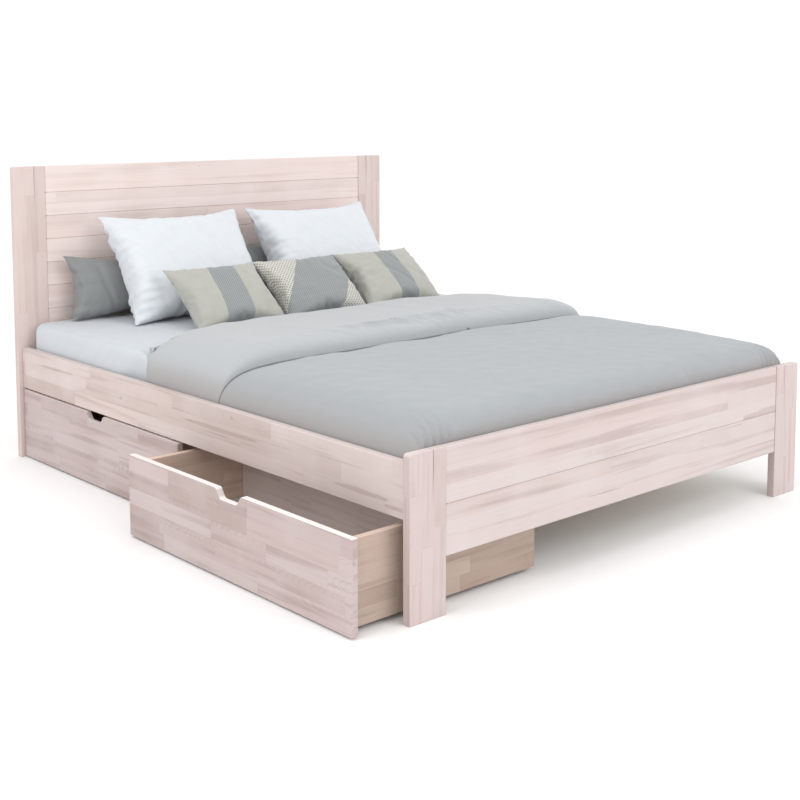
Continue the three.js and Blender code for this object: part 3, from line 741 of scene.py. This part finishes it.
def mattress_surface(low, high, wide, highest):
    """The mattress in its sheet: a rounded outline carried up a rounded side and in over a crowned top.

    The outline is a rectangle with quarter-circle corners. It is narrower below the duvet and swells to the
    half-width wide at the head, where only the sheet covers it. Each ring is the outline scaled towards the
    middle, so the rings close at a pole above and below.
    """
    middle = (low + high) / 2
    half = np.array([high.x - low.x, high.y - low.y]) / 2
    radius = 0.06
    side = np.linspace(-1, 1, 64)[:-1]
    arc = np.linspace(0, math.pi / 2, 10)[:-1]
    reach_x, reach_y = half - radius
    corner = np.stack([np.cos(arc), np.sin(arc)], axis=1) * radius
    edges = []
    for turn in range(4):
        across, up = (reach_x, reach_y) if turn % 2 == 0 else (reach_y, reach_x)
        line = np.stack([np.full(len(side), across + radius), side * up], axis=1)
        bend = corner + (across, up)
        quarter = np.vstack([line, bend])
        angle = turn * math.pi / 2
        spin = np.array([[math.cos(angle), math.sin(angle)], [-math.sin(angle), math.cos(angle)]])
        edges.append(quarter @ spin)
    outline = np.vstack(edges)
    swell = step_up(outline[:, 1] + middle.y, 0.30, 0.42)
    outline[:, 0] *= 1 + swell * (wide / half[0] - 1)
    depth = high.z - low.z
    profile = smooth_curve(
        [(0.0, 0.0), (0.6, 0.0), (0.965, 0.002), (0.995, 0.03), (1.0, 0.25), (1.0, 0.75), (0.994, 0.93),
         (0.972, 0.992), (0.90, 1.0), (0.5, 1.004), (0.0, 1.006)],
        64,
    )[1:-1]
    rings = np.zeros((len(profile), len(outline), 3))
    rings[..., 0] = middle.x + profile[:, :1] * outline[None, :, 0]
    rings[..., 1] = middle.y + profile[:, :1] * outline[None, :, 1]
    rings[..., 2] = low.z + profile[:, 1:] * depth
    normal = grid_normals(rings)
    outward = np.sign(np.sum(normal * (rings - np.array(middle)), axis=-1, keepdims=True))
    relief = 0.0014 * waves(rings[..., 0], rings[..., 1] + rings[..., 2], 0.16, 5)
    relief += 0.0008 * waves(rings[..., 0] + rings[..., 2], rings[..., 1], 0.045, 6, (1.0, 2.5))
    at_top = step_up(rings[..., 2], low.z + 0.7 * depth, high.z)
    rings += normal * outward * (relief * (0.35 + 0.65 * at_top))[..., None]
    rings[..., 2] = np.minimum(rings[..., 2], highest(rings[..., 0], rings[..., 1]))
    count = len(outline)
    index = np.arange(rings[..., 0].size).reshape(len(profile), count)
    wrapped = np.hstack([index, index[:, :1]])
    peak = float(rings[-1, :, 2].mean())
    points = np.vstack([rings.reshape(-1, 3), [middle.x, middle.y, low.z], [middle.x, middle.y, peak]])
    poles = (len(points) - 2, len(points) - 1)
    bottom = np.stack([wrapped[0, 1:], wrapped[0, :-1], np.full(count, poles[0])], axis=1)
    top = np.stack([wrapped[-1, :-1], wrapped[-1, 1:], np.full(count, poles[1])], axis=1)
    quads = grid_quads(wrapped)[:, ::-1]
    uv = points[:, :2] + points[:, 2:3] * (0.0, 1.0)
    return points, quads, np.vstack([bottom, top]), uv


def duvet_profiles(cloth, low, high, mattress_top):
    """Two curves of the duvet: from side to side as (x, share of the height), and lengthwise as (y, z).

    The share is (1 - |x / half-width|^n)^0.4, with n = 11 on the left and the squarer 24 on the right. The
    lengthwise curve rises from its tuck at the footboard, runs over the crown, dips into the crease, turns
    up and over the rolled edge of the band, and ends under the fold at the head.
    """
    half = (high.x - low.x) / 2 - 0.0015
    crown = mattress_top + cloth.duvet_crown
    reach = np.sin(np.linspace(-math.pi / 2, math.pi / 2, 4001))
    squareness = np.where(reach < 0, 11.0, 24.0)
    share = np.clip(1 - np.abs(reach) ** squareness, 0, 1) ** 0.40
    across = even_steps(np.stack([reach * half, share], axis=1), 280, (1.0, crown - low.z))
    loft = crown + cloth.band_loft
    head = high.y
    edge = head - cloth.band_width
    foot = low.y + 0.002
    lengthwise = [
        (foot, low.z + 0.012), (foot, 0.420), (foot + 0.004, 0.450), (foot + 0.018, 0.471),
        (foot + 0.050, 0.485), (foot + 0.12, crown - 0.005), (foot + 0.24, crown - 0.001), (-0.55, crown),
        (edge - 0.16, crown), (edge - 0.050, crown - 0.003), (edge - 0.012, crown - 0.011),
        (edge - 0.001, crown - 0.013), (edge + 0.001, crown - 0.001), (edge + 0.005, crown + 0.014),
        (edge + 0.018, crown + 0.028), (edge + 0.046, loft + 0.003), (edge + 0.095, loft + 0.007),
        (edge + 0.18, loft + 0.001), (head - 0.20, loft - 0.003), (head - 0.065, loft - 0.006),
        (head - 0.020, loft - 0.018), (head - 0.002, crown - 0.004), (head - 0.003, mattress_top + 0.013),
        (head - 0.012, mattress_top + 0.009),
    ]
    return across, smooth_curve(lengthwise, 330), edge, crown


def duvet_surface(cloth, low, high, mattress_top):
    """The duvet as one sheet of padding: the lengthwise curve lowered towards each side by the side curve.

    A point's height is the hem's height plus the side curve's share of what the lengthwise curve has above
    the hem. The folds open out towards the sides, where the head end becomes a plain hem. Relief is added
    along the normal: slow waves, small quilting dimples, gathers behind the band's edge, and pleats at the
    corners of the foot.
    """
    across, lengthwise, edge, crown = duvet_profiles(cloth, low, high, mattress_top)
    x = np.repeat(across[:, :1], len(lengthwise), axis=1)
    share = np.repeat(across[:, 1:], len(lengthwise), axis=1)
    falling = np.diff(lengthwise[:, 0], prepend=lengthwise[0, 0]) <= 1e-6
    forward = np.maximum.accumulate(lengthwise[:, 0]) + 0.006 * np.cumsum(falling) / max(1, falling.sum())
    at_head = lengthwise[:, 0] > high.y - 0.07
    folded = step_up(share, np.where(at_head, 0.60, 0.10), np.where(at_head, 0.98, 0.60))
    y = folded * lengthwise[None, :, 0] + (1 - folded) * forward[None, :]
    height = lengthwise[:, 1]
    open_height = np.where(at_head, np.maximum(height, crown + cloth.band_loft - 0.008), height)
    full = folded * height[None, :] + (1 - folded) * open_height[None, :]
    hem = low.z + HEM_LIFT
    on_band = step_up(y, edge - 0.03, edge + 0.03)
    sway = 0.006 * np.sin(x * 3.1 + 0.6) + 0.003 * np.sin(x * 9.3) - 0.012 * step_up(x, 0.3, 0.75)
    setback = head_setback(x, share) * step_up(y, high.y - 0.47, high.y - 0.02)
    y = y + sway * bell(y - edge, 0.22) * share - setback
    z = hem + (full - hem) * share
    points = np.stack([x, y, z], axis=-1)
    on_top = step_up(share, 0.55, 0.98)
    relief = cloth.ripple * waves(x, y, 0.34, 11) * (0.5 + 0.5 * on_top)
    relief += 0.00055 * waves(x, y, 0.085, 12) * (1 - on_band)
    relief += 0.0011 * waves(x, y, 0.13, 13, (1.0, 2.2)) * on_band
    gather_zone = bell(x - 0.02, 0.34) * bell(y - edge - 0.085, 0.045)
    slant = x + 0.45 * (y - edge)
    gathers = waves(slant, y, 0.030, 14, (1.0, 6.0))
    relief += 0.0085 * gather_zone * np.clip(gathers, -0.5, 1.5) * on_band
    relief += 0.0009 * bell(y - edge - 0.02, 0.05) * waves(slant, y, 0.04, 15, (1.0, 5.0)) * on_band
    for side in (-1, 1):
        near_corner = step_up(side * x, 0.64, 0.71) * (1 - step_up(side * x, 0.775, 0.795))
        pleats = np.sin(2 * math.pi * (side * x * 1.1 + 0.35 * y) / 0.027 + side)
        relief += 0.0050 * pleats * near_corner * np.exp(-(y - low.y) / 0.040) * step_up(z, 0.40, 0.43)
    normal = grid_normals(points)
    fade = step_up(share, 0.02, 0.25) * step_up(full, low.z + 0.02, low.z + 0.07)
    points = points + normal * (relief * fade)[..., None]
    limit = high.x - 0.001
    over_rail = step_up(points[..., 2], 0.392, 0.42) * 0.006
    points[..., 0] = np.clip(points[..., 0], -limit - over_rail, limit + over_rail)
    points[..., 1] = np.maximum(points[..., 1], low.y + 0.0015)
    u, v = np.meshgrid(travelled(across), travelled(lengthwise), indexing="ij")
    before_edge = np.abs(lengthwise[:, 0] - edge) + 10 * (height > crown - 0.004)
    band_start = travelled(lengthwise)[np.argmin(before_edge)]
    index = np.arange(x.size).reshape(x.shape)
    return points.reshape(-1, 3), grid_quads(index), np.stack([u, v], axis=-1).reshape(-1, 2), band_start


class BED_OT_mattress(bpy.types.Operator):
    """Makes the mattress in its white fitted sheet."""

    bl_idname = "bed.mattress"
    bl_label = "Make the mattress"

    def execute(self, context):
        low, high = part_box("mattress")
        highest = duvet_underside(settings("cloth"), *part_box("duvet"), high.z)
        points, quads, triangles, uv = mattress_surface(low, high, SHEET_HALF_WIDTH, highest)
        piece = put_mesh("mattress_with_sheet", points, quads, uv, triangles)
        dress(piece, cloth_material("sheet_cotton", tuple(settings("colours").sheet)))
        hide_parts("mattress")
        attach(piece, ROOT)
        return {"FINISHED"}


class BED_OT_duvet(bpy.types.Operator):
    """Makes the duvet with its turned-back band."""

    bl_idname = "bed.duvet"
    bl_label = "Make the duvet"

    def execute(self, context):
        cloth, colours = settings("cloth"), settings("colours")
        low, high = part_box("duvet")
        mattress_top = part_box("mattress")[1].z
        points, quads, uv, band_start = duvet_surface(cloth, low, high, mattress_top)
        piece = put_mesh("duvet_with_band", points, quads, uv)
        wall = piece.modifiers.new("padding", "SOLIDIFY")
        wall.thickness = cloth.duvet_thickness
        wall.offset = -1.0

        # Band colour, with painted shade low on the duvet's sides and a painted shadow along the crease.
        def band_and_painted_shade(wire, place, colour):
            along = wire.parts(place)[1]
            on_band = wire.ramp(along, band_start - 0.003, band_start + 0.003)
            colour = wire.mix(on_band, colour, tuple(colours.band))
            # Painted shade: darker and warmer low on the duvet's sides, fading out towards the top.
            height = wire.parts(wire.node("TexCoord").outputs["Object"])[2]
            low_side_shade = wire.ramp(height, low.z + 0.035, high.z - 0.020, 0.75, 0.0)
            colour = wire.mix(low_side_shade, colour, tuple(colours.low_side_shade))
            # Painted shadow: a thin near-black line along the crease under the band's rolled edge, where
            # the roll shades it.
            off_crease = wire.math("ABSOLUTE", wire.minus(along, band_start - 0.002))
            return wire.mix(wire.ramp(off_crease, 0.001, 0.0055, 0.72, 0.0), colour, (0.07, 0.07, 0.07))

        material = cloth_material("duvet_cotton", tuple(colours.duvet), 0.0012, 0.0004, 0.3, band_and_painted_shade)
        dress(piece, material)
        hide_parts("duvet")
        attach(piece, ROOT)
        return {"FINISHED"}


# ---- Pillows and cushions


def envelope(width, height, step):
    """A flat closed case: two grids that share their edge, with the middle lifted a little on each side.

    Half the thickness is 12 mm times (1 - u^4) times (1 - v^4), with u and v from -1 to 1 across the case.
    Each side bows in by up to 4.5% of the size, so that the corners stand out.
    """
    across, up = int(width / step) + 1, int(height / step) + 1
    u, v = np.meshgrid(np.linspace(-1, 1, across), np.linspace(-1, 1, up), indexing="ij")
    x, y = width / 2 * u * (1 - 0.035 * (1 - v**2)), height / 2 * v * (1 - 0.045 * (1 - u**2))
    lift = 0.012 * (1 - u**4) * (1 - v**4)
    front = np.stack([x, y, lift], axis=-1).reshape(-1, 3)
    back = np.stack([x, y, -lift], axis=-1)[1:-1, 1:-1].reshape(-1, 3)
    front_index = np.arange(across * up).reshape(across, up)
    back_index = front_index.copy()
    back_index[1:-1, 1:-1] = across * up + np.arange((across - 2) * (up - 2)).reshape(across - 2, up - 2)
    points = np.vstack([front, back])
    quads = np.vstack([grid_quads(front_index), grid_quads(back_index)[:, ::-1]])
    seam = np.zeros(len(points), bool)
    seam[front_index[[0, -1], :].ravel()] = True
    seam[front_index[:, [0, -1]].ravel()] = True
    return points, quads, seam


CASE_CLOTH = {
    "quality": 5, "mass": 0.3, "tension_stiffness": 40.0, "compression_stiffness": 40.0,
    "shear_stiffness": 5.0, "bending_stiffness": 0.4, "use_pressure": True,
}


def fill_case(piece, pressure, frames, cap):
    """Swells a case with Blender's cloth under inner pressure, with no gravity, and keeps the result.

    Each point may move by at most cap, and the last frame's shape is written back into the mesh.
    """
    start = mesh_points(piece.data)
    modifier = piece.modifiers.new("filling", "CLOTH")
    cloth = modifier.settings
    for name, value in CASE_CLOTH.items():
        setattr(cloth, name, value)
    cloth.uniform_pressure_force = pressure
    cloth.effector_weights.gravity = 0.0
    modifier.collision_settings.use_collision = False
    modifier.point_cache.frame_start = 1
    modifier.point_cache.frame_end = frames
    scene = bpy.context.scene
    for number in range(1, frames + 1):
        scene.frame_set(number)
    evaluated = piece.evaluated_get(bpy.context.evaluated_depsgraph_get())
    mesh = evaluated.to_mesh()
    moved = mesh_points(mesh)
    evaluated.to_mesh_clear()
    piece.modifiers.remove(modifier)
    scene.frame_set(1)
    step = moved - start
    length = np.maximum(np.linalg.norm(step, axis=1, keepdims=True), 1e-9)
    return start + step * np.minimum(1.0, cap / length)


def wrinkles(x, y, width, height, gather, crease, seed):
    """Height of a filled case's wrinkles over its cloth.

    Gathers run in from each seam as waves along it, times exp(-distance / 0.05), most of all at the left.
    Creases lie where a slow wave drawn out along one diagonal is near zero, and are crease times
    (1 - 2.2 |wave|) deep. Both vanish at the seam itself.
    """
    relief = np.zeros_like(x)
    wide, tall = width / 2, height / 2
    sides = ((wide + x, y, 1.5), (wide - x, y, 0.8), (tall + y, x, 0.9), (tall - y, x, 0.5))
    depths = [np.clip(away, 0, None) for away, along, weight in sides]
    closest = np.minimum.reduce(depths)
    for number, (away, along, weight) in enumerate(sides):
        fade = np.exp(-depths[number] / 0.05) * (1 - np.exp(-depths[number] / 0.012))
        rows = waves(along, away, 0.036, seed + number, (1.0, 6.0))
        uneven = 0.7 + 0.5 * waves(along, along, 0.21, seed + 10 + number)
        relief += gather * weight * fade * rows * uneven
    valleys = np.abs(waves(x + 0.4 * y, y - 0.2 * x, 0.20, seed + 20, (0.8, 2.4)))
    return relief - crease * np.clip(1 - valleys * 2.2, 0, 1) * (1 - np.exp(-closest / 0.04))


def settle(points, floor, wall_y):
    """Rests a leaning pillow: pressed flat on the mattress and against what is behind it.

    Heights under the floor level are pushed up by a soft limit, level + k log(1 + exp((z - level) / k)).
    """
    soft = 0.006
    lift = np.clip((points[:, 2] - floor) / soft, -60, 60)
    points[:, 2] = floor + soft * np.log1p(np.exp(lift))
    if wall_y is not None:
        gap = np.clip((wall_y - points[:, 1]) / soft, -60, 60)
        points[:, 1] = wall_y - soft * np.log1p(np.exp(gap))
    return points


PILLOW_LIFT = 0.003
SEAM_CREASE = 0.75


def make_pillow(name, node, spec, material, seed):
    """A filled pillow in the place of one CAD solid, leaning back by spec's angle from upright."""
    low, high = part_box(node)
    middle = (low + high) / 2
    width, height = spec["size"]
    points, quads, seam = envelope(width, height, spec["step"])
    uv = points[:, :2].copy()
    piece = put_mesh(name, points, quads, uv)
    filled = fill_case(piece, settings("cloth").pressure, spec["frames"], spec["cap"])
    filled[:, 2] *= spec["thickness"] / np.ptp(filled[:, 2])
    filled[:, 2] *= 1 - spec["slump"] * filled[:, 1] / height
    piece.data.vertices.foreach_set("co", filled.astype(np.float32).ravel())
    piece.data.update()
    normal = np.zeros(len(filled) * 3, np.float32)
    piece.data.vertex_normals.foreach_get("vector", normal)
    relief = wrinkles(uv[:, 0], uv[:, 1], width, height, spec["gather"], spec["crease"], seed)
    filled += normal.reshape(-1, 3) * relief[:, None]
    lean = math.pi / 2 - math.radians(spec["lean"])
    turn = Euler((lean, 0.0, 0.0), "XYZ").to_matrix()
    placed = filled @ np.array(turn).T
    placed += (middle.x + spec["offset"][0], middle.y + spec["offset"][1], 0.0)
    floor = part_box("mattress")[1].z + PILLOW_LIFT
    placed[:, 2] -= placed[:, 2].min() - floor + spec["sink"]
    placed = settle(placed, floor, spec["wall"])
    piece.data.vertices.foreach_set("co", placed.astype(np.float32).ravel())
    creases = piece.data.attributes.new("crease_edge", "FLOAT", "EDGE")
    ends = np.zeros(len(piece.data.edges) * 2, np.int32)
    piece.data.edges.foreach_get("vertices", ends)
    on_seam = seam[ends.reshape(-1, 2)].all(axis=1)
    creases.data.foreach_set("value", np.where(on_seam, SEAM_CREASE, 0.0).astype(np.float32))
    piece.data.update()
    subdivide(piece)
    dress(piece, material)
    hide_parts(node)
    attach(piece, ROOT)


WHITE = {
    "size": (0.605, 0.470), "step": 0.0075, "thickness": 0.165, "frames": 15, "cap": 0.09,
    "gather": 0.0068, "crease": 0.0032, "lean": 34.0, "slump": 0.35, "sink": 0.018, "wall": None,
    "fill": 0.6, "slot": "sheet_cotton", "offset": (0.0, 0.0),
}
DARK = {
    "size": (0.645, 0.260), "step": 0.0075, "thickness": 0.12, "frames": 14, "cap": 0.07,
    "gather": 0.0050, "crease": 0.0060, "lean": 12.0, "slump": 0.25, "sink": 0.014, "wall": 1.009,
    "fill": 0.7, "slot": "dark_cotton", "offset": (0.0, 0.0),
}
SMALL = {
    "size": (0.385, 0.315), "step": 0.0062, "thickness": 0.112, "frames": 15, "cap": 0.060,
    "gather": 0.0048, "crease": 0.0040, "lean": 50.0, "slump": 0.2, "sink": 0.018, "wall": None,
    "fill": 0.75, "slot": "striped_cotton", "offset": (0.0, -0.028),
}


class BED_OT_pillows(bpy.types.Operator):
    """Makes the two white pillows and the two dark pillows behind them."""

    bl_idname = "bed.pillows"
    bl_label = "Make the pillows"

    def execute(self, context):
        colours = settings("colours")
        white = cloth_material("pillow_cotton", tuple(colours.pillowcase))
        dark = cloth_material("dark_cotton", tuple(colours.dark_cloth), 0.0022, 0.0006, 0.2)
        make_pillow("pillow_white_left", "white_pillow_left", WHITE, white, 100)
        make_pillow("pillow_white_right", "white_pillow_right", WHITE, white, 140)
        make_pillow("pillow_dark_left", "dark_pillow_left", DARK, dark, 180)
        make_pillow("pillow_dark_right", "dark_pillow_right", DARK, dark, 220)
        return {"FINISHED"}


def cushion_material(name, band_of, waffle, colours):
    """Small cushion cloth: a pale ground, plain or honeycomb, crossed by one wide woven grey band.

    band_of(wire, x, y) gives how far inside the band a point on the cloth is, in metres.
    """
    material, wire, shader = new_material(name)
    place = cloth_place(wire)
    x, y = wire.parts(place)[:2]
    inside = wire.ramp(band_of(wire, x, y), -0.0008, 0.0008)
    pale, grey = tuple(colours.pale_cloth), tuple(colours.stripe)
    weave = use_group(wire, "plain_weave", {"Place": place, "Thread": 0.0013})
    ground = wire.mix(wire.ramp(weave["Uneven"], 0.3, 0.75, 0.0, 0.6), pale, tinted(pale, 0.9))
    relief = wire.times(weave["Height"], 0.25)
    if waffle:
        cells = use_group(wire, "honeycomb_weave", {"Place": place, "Cell": 0.0135})
        ground = wire.mix(wire.times(cells["Pit"], 0.85), (0.62, 0.61, 0.56), (0.15, 0.145, 0.13))
        relief = wire.times_plus(cells["Height"], 1.6, relief)
    dots = use_group(wire, "honeycomb_weave", {"Place": place, "Cell": 0.0090})
    band = wire.mix(wire.times(dots["Pit"], 0.7), grey, tinted(grey, 2.1))
    colour, rough = wire.mix(inside, ground, band), wire.ramp(inside, 0.0, 1.0, 0.88, 0.62)
    band_relief = wire.times(dots["Height"], 0.7)
    mixed = wire.node("Mix", {0: inside, 2: relief, 3: band_relief}, data_type="FLOAT").outputs[0]
    wire.fill(shader, {"Base Color": colour, "Roughness": rough, "Normal": wire.bump(mixed, 0.0011, 0.8)})
    wire.fill(shader, {"Sheen Weight": 0.25, "Specular IOR Level": 0.3})
    return material


def straight_band(middle, slope, half_width):
    """A band up the cushion: half its width less the distance from the line x = middle + slope y."""

    def inside(wire, x, y):
        line = wire.times_plus(y, slope, middle)
        return wire.minus(half_width, wire.math("ABSOLUTE", wire.minus(x, line)))

    return inside


class BED_OT_cushions(bpy.types.Operator):
    """Makes the two striped cushions and the patterned one between them."""

    bl_idname = "bed.cushions"
    bl_label = "Make the cushions"

    def execute(self, context):
        colours = settings("colours")
        left = cushion_material("striped_cotton_left", straight_band(-0.003, 0.11, 0.055), False, colours)
        middle = cushion_material("patterned_cotton", straight_band(0.020, 0.72, 0.130), True, colours)
        right = cushion_material("striped_cotton_right", straight_band(0.012, -0.02, 0.045), False, colours)
        make_pillow("cushion_striped_left", "striped_cushion_left", SMALL, left, 260)
        patterned = {**SMALL, "slot": "patterned_cotton", "offset": (-0.030, -0.028)}
        make_pillow("cushion_patterned", "patterned_cushion", patterned, middle, 300)
        rightmost = {**SMALL, "offset": (-0.052, -0.028)}
        make_pillow("cushion_striped_right", "striped_cushion_right", rightmost, right, 340)
        return {"FINISHED"}


# ---- Studio


def floor_material():
    """Matt white studio floor with a barely visible mottle."""
    material, wire, shader = new_material("studio_floor")
    place = wire.node("TexCoord").outputs["Object"]
    colour = wire.mix(wire.noise(place, 0.8), (0.965, 0.965, 0.965), (0.98, 0.98, 0.98))
    wire.fill(shader, {"Base Color": colour, "Roughness": 0.9, "Specular IOR Level": 0.1})
    return material


def soft_light(name, place, aim, size, power):
    """A large square area light that looks at a point."""
    light = bpy.data.lights.new(name, "AREA")
    light.size = size
    light.energy = power
    holder = bpy.data.objects.new(name, light)
    holder.location = place
    holder.rotation_euler = (Vector(aim) - Vector(place)).to_track_quat("-Z", "Y").to_euler()
    bpy.context.scene.collection.objects.link(holder)


FLOOR_REACH = 30.0
SIDE_LIGHT_SHARE = 0.45


class BED_OT_studio(bpy.types.Operator):
    """Makes the floor, the lights and the camera."""

    bl_idname = "bed.studio"
    bl_label = "Make the studio"

    def execute(self, context):
        stage = settings("stage")
        corners = FLOOR_REACH * np.array([(-1, -1, 0), (1, -1, 0), (1, 1, 0), (-1, 1, 0)])
        floor = put_mesh("studio_floor", corners, np.array([[0, 1, 2, 3]]))
        dress(floor, floor_material())
        world = bpy.data.worlds.new("studio_world")
        world.use_nodes = True
        background = world.node_tree.nodes["Background"]
        background.inputs[0].default_value = (1.0, 1.0, 1.0, 1.0)
        background.inputs[1].default_value = stage.world_strength
        context.scene.world = world
        soft_light("key_light", (0.6, -5.2, 3.4), (0.0, 0.0, 0.4), 2.6, stage.key_power)
        side_power = stage.key_power * SIDE_LIGHT_SHARE
        soft_light("side_light", (-3.2, -0.9, 2.7), (-0.8, -0.4, 0.1), 1.6, side_power)
        data = bpy.data.cameras.new("studio_camera")
        data.sensor_width = 36.0
        data.lens = stage.lens
        data.shift_y = stage.rise
        data.clip_end = 200.0
        camera = bpy.data.objects.new("studio_camera", data)
        camera.location = stage.camera_place
        camera.rotation_euler = (math.pi / 2 - stage.camera_dip, 0.0, -stage.camera_turn)
        context.scene.collection.objects.link(camera)
        context.scene.camera = camera
        context.scene.view_settings.view_transform = "Standard"
        return {"FINISHED"}


# ---- Add-on


STEPS = ("timber", "drawers", "hardware", "mattress", "duvet", "pillows", "cushions", "studio")


class BED_PT_looks(bpy.types.Panel):
    """Lists the steps and their settings."""

    bl_idname = "BED_PT_looks"
    bl_label = "Platform bed"
    bl_space_type = "VIEW_3D"
    bl_region_type = "UI"
    bl_category = "Bed"

    def draw(self, context):
        for kind in ("cloth", "colours", "stage"):
            group = getattr(context.scene, "bed_" + kind)
            box = self.layout.box()
            for name in group.__annotations__:
                box.prop(group, name)
        for step in STEPS:
            self.layout.operator("bed." + step)


CLASSES = (
    BedClothSettings,
    BedColourSettings,
    BedStageSettings,
    BED_OT_timber,
    BED_OT_drawers,
    BED_OT_hardware,
    BED_OT_mattress,
    BED_OT_duvet,
    BED_OT_pillows,
    BED_OT_cushions,
    BED_OT_studio,
    BED_PT_looks,
)


def register():
    """Registers the classes and hangs the settings on the scene."""
    for item in CLASSES:
        bpy.utils.register_class(item)
    bpy.types.Scene.bed_cloth = bpy.props.PointerProperty(type=BedClothSettings)
    bpy.types.Scene.bed_colours = bpy.props.PointerProperty(type=BedColourSettings)
    bpy.types.Scene.bed_stage = bpy.props.PointerProperty(type=BedStageSettings)


def unregister():
    """Takes the settings off the scene and unregisters the classes."""
    del bpy.types.Scene.bed_stage
    del bpy.types.Scene.bed_colours
    del bpy.types.Scene.bed_cloth
    for item in reversed(CLASSES):
        bpy.utils.unregister_class(item)


def main():
    """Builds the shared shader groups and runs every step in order."""
    register()
    stave_group()
    weave_group()
    waffle_group()
    for step in STEPS:
        getattr(bpy.ops.bed, step)()


if __name__ == "__main__":
    main()
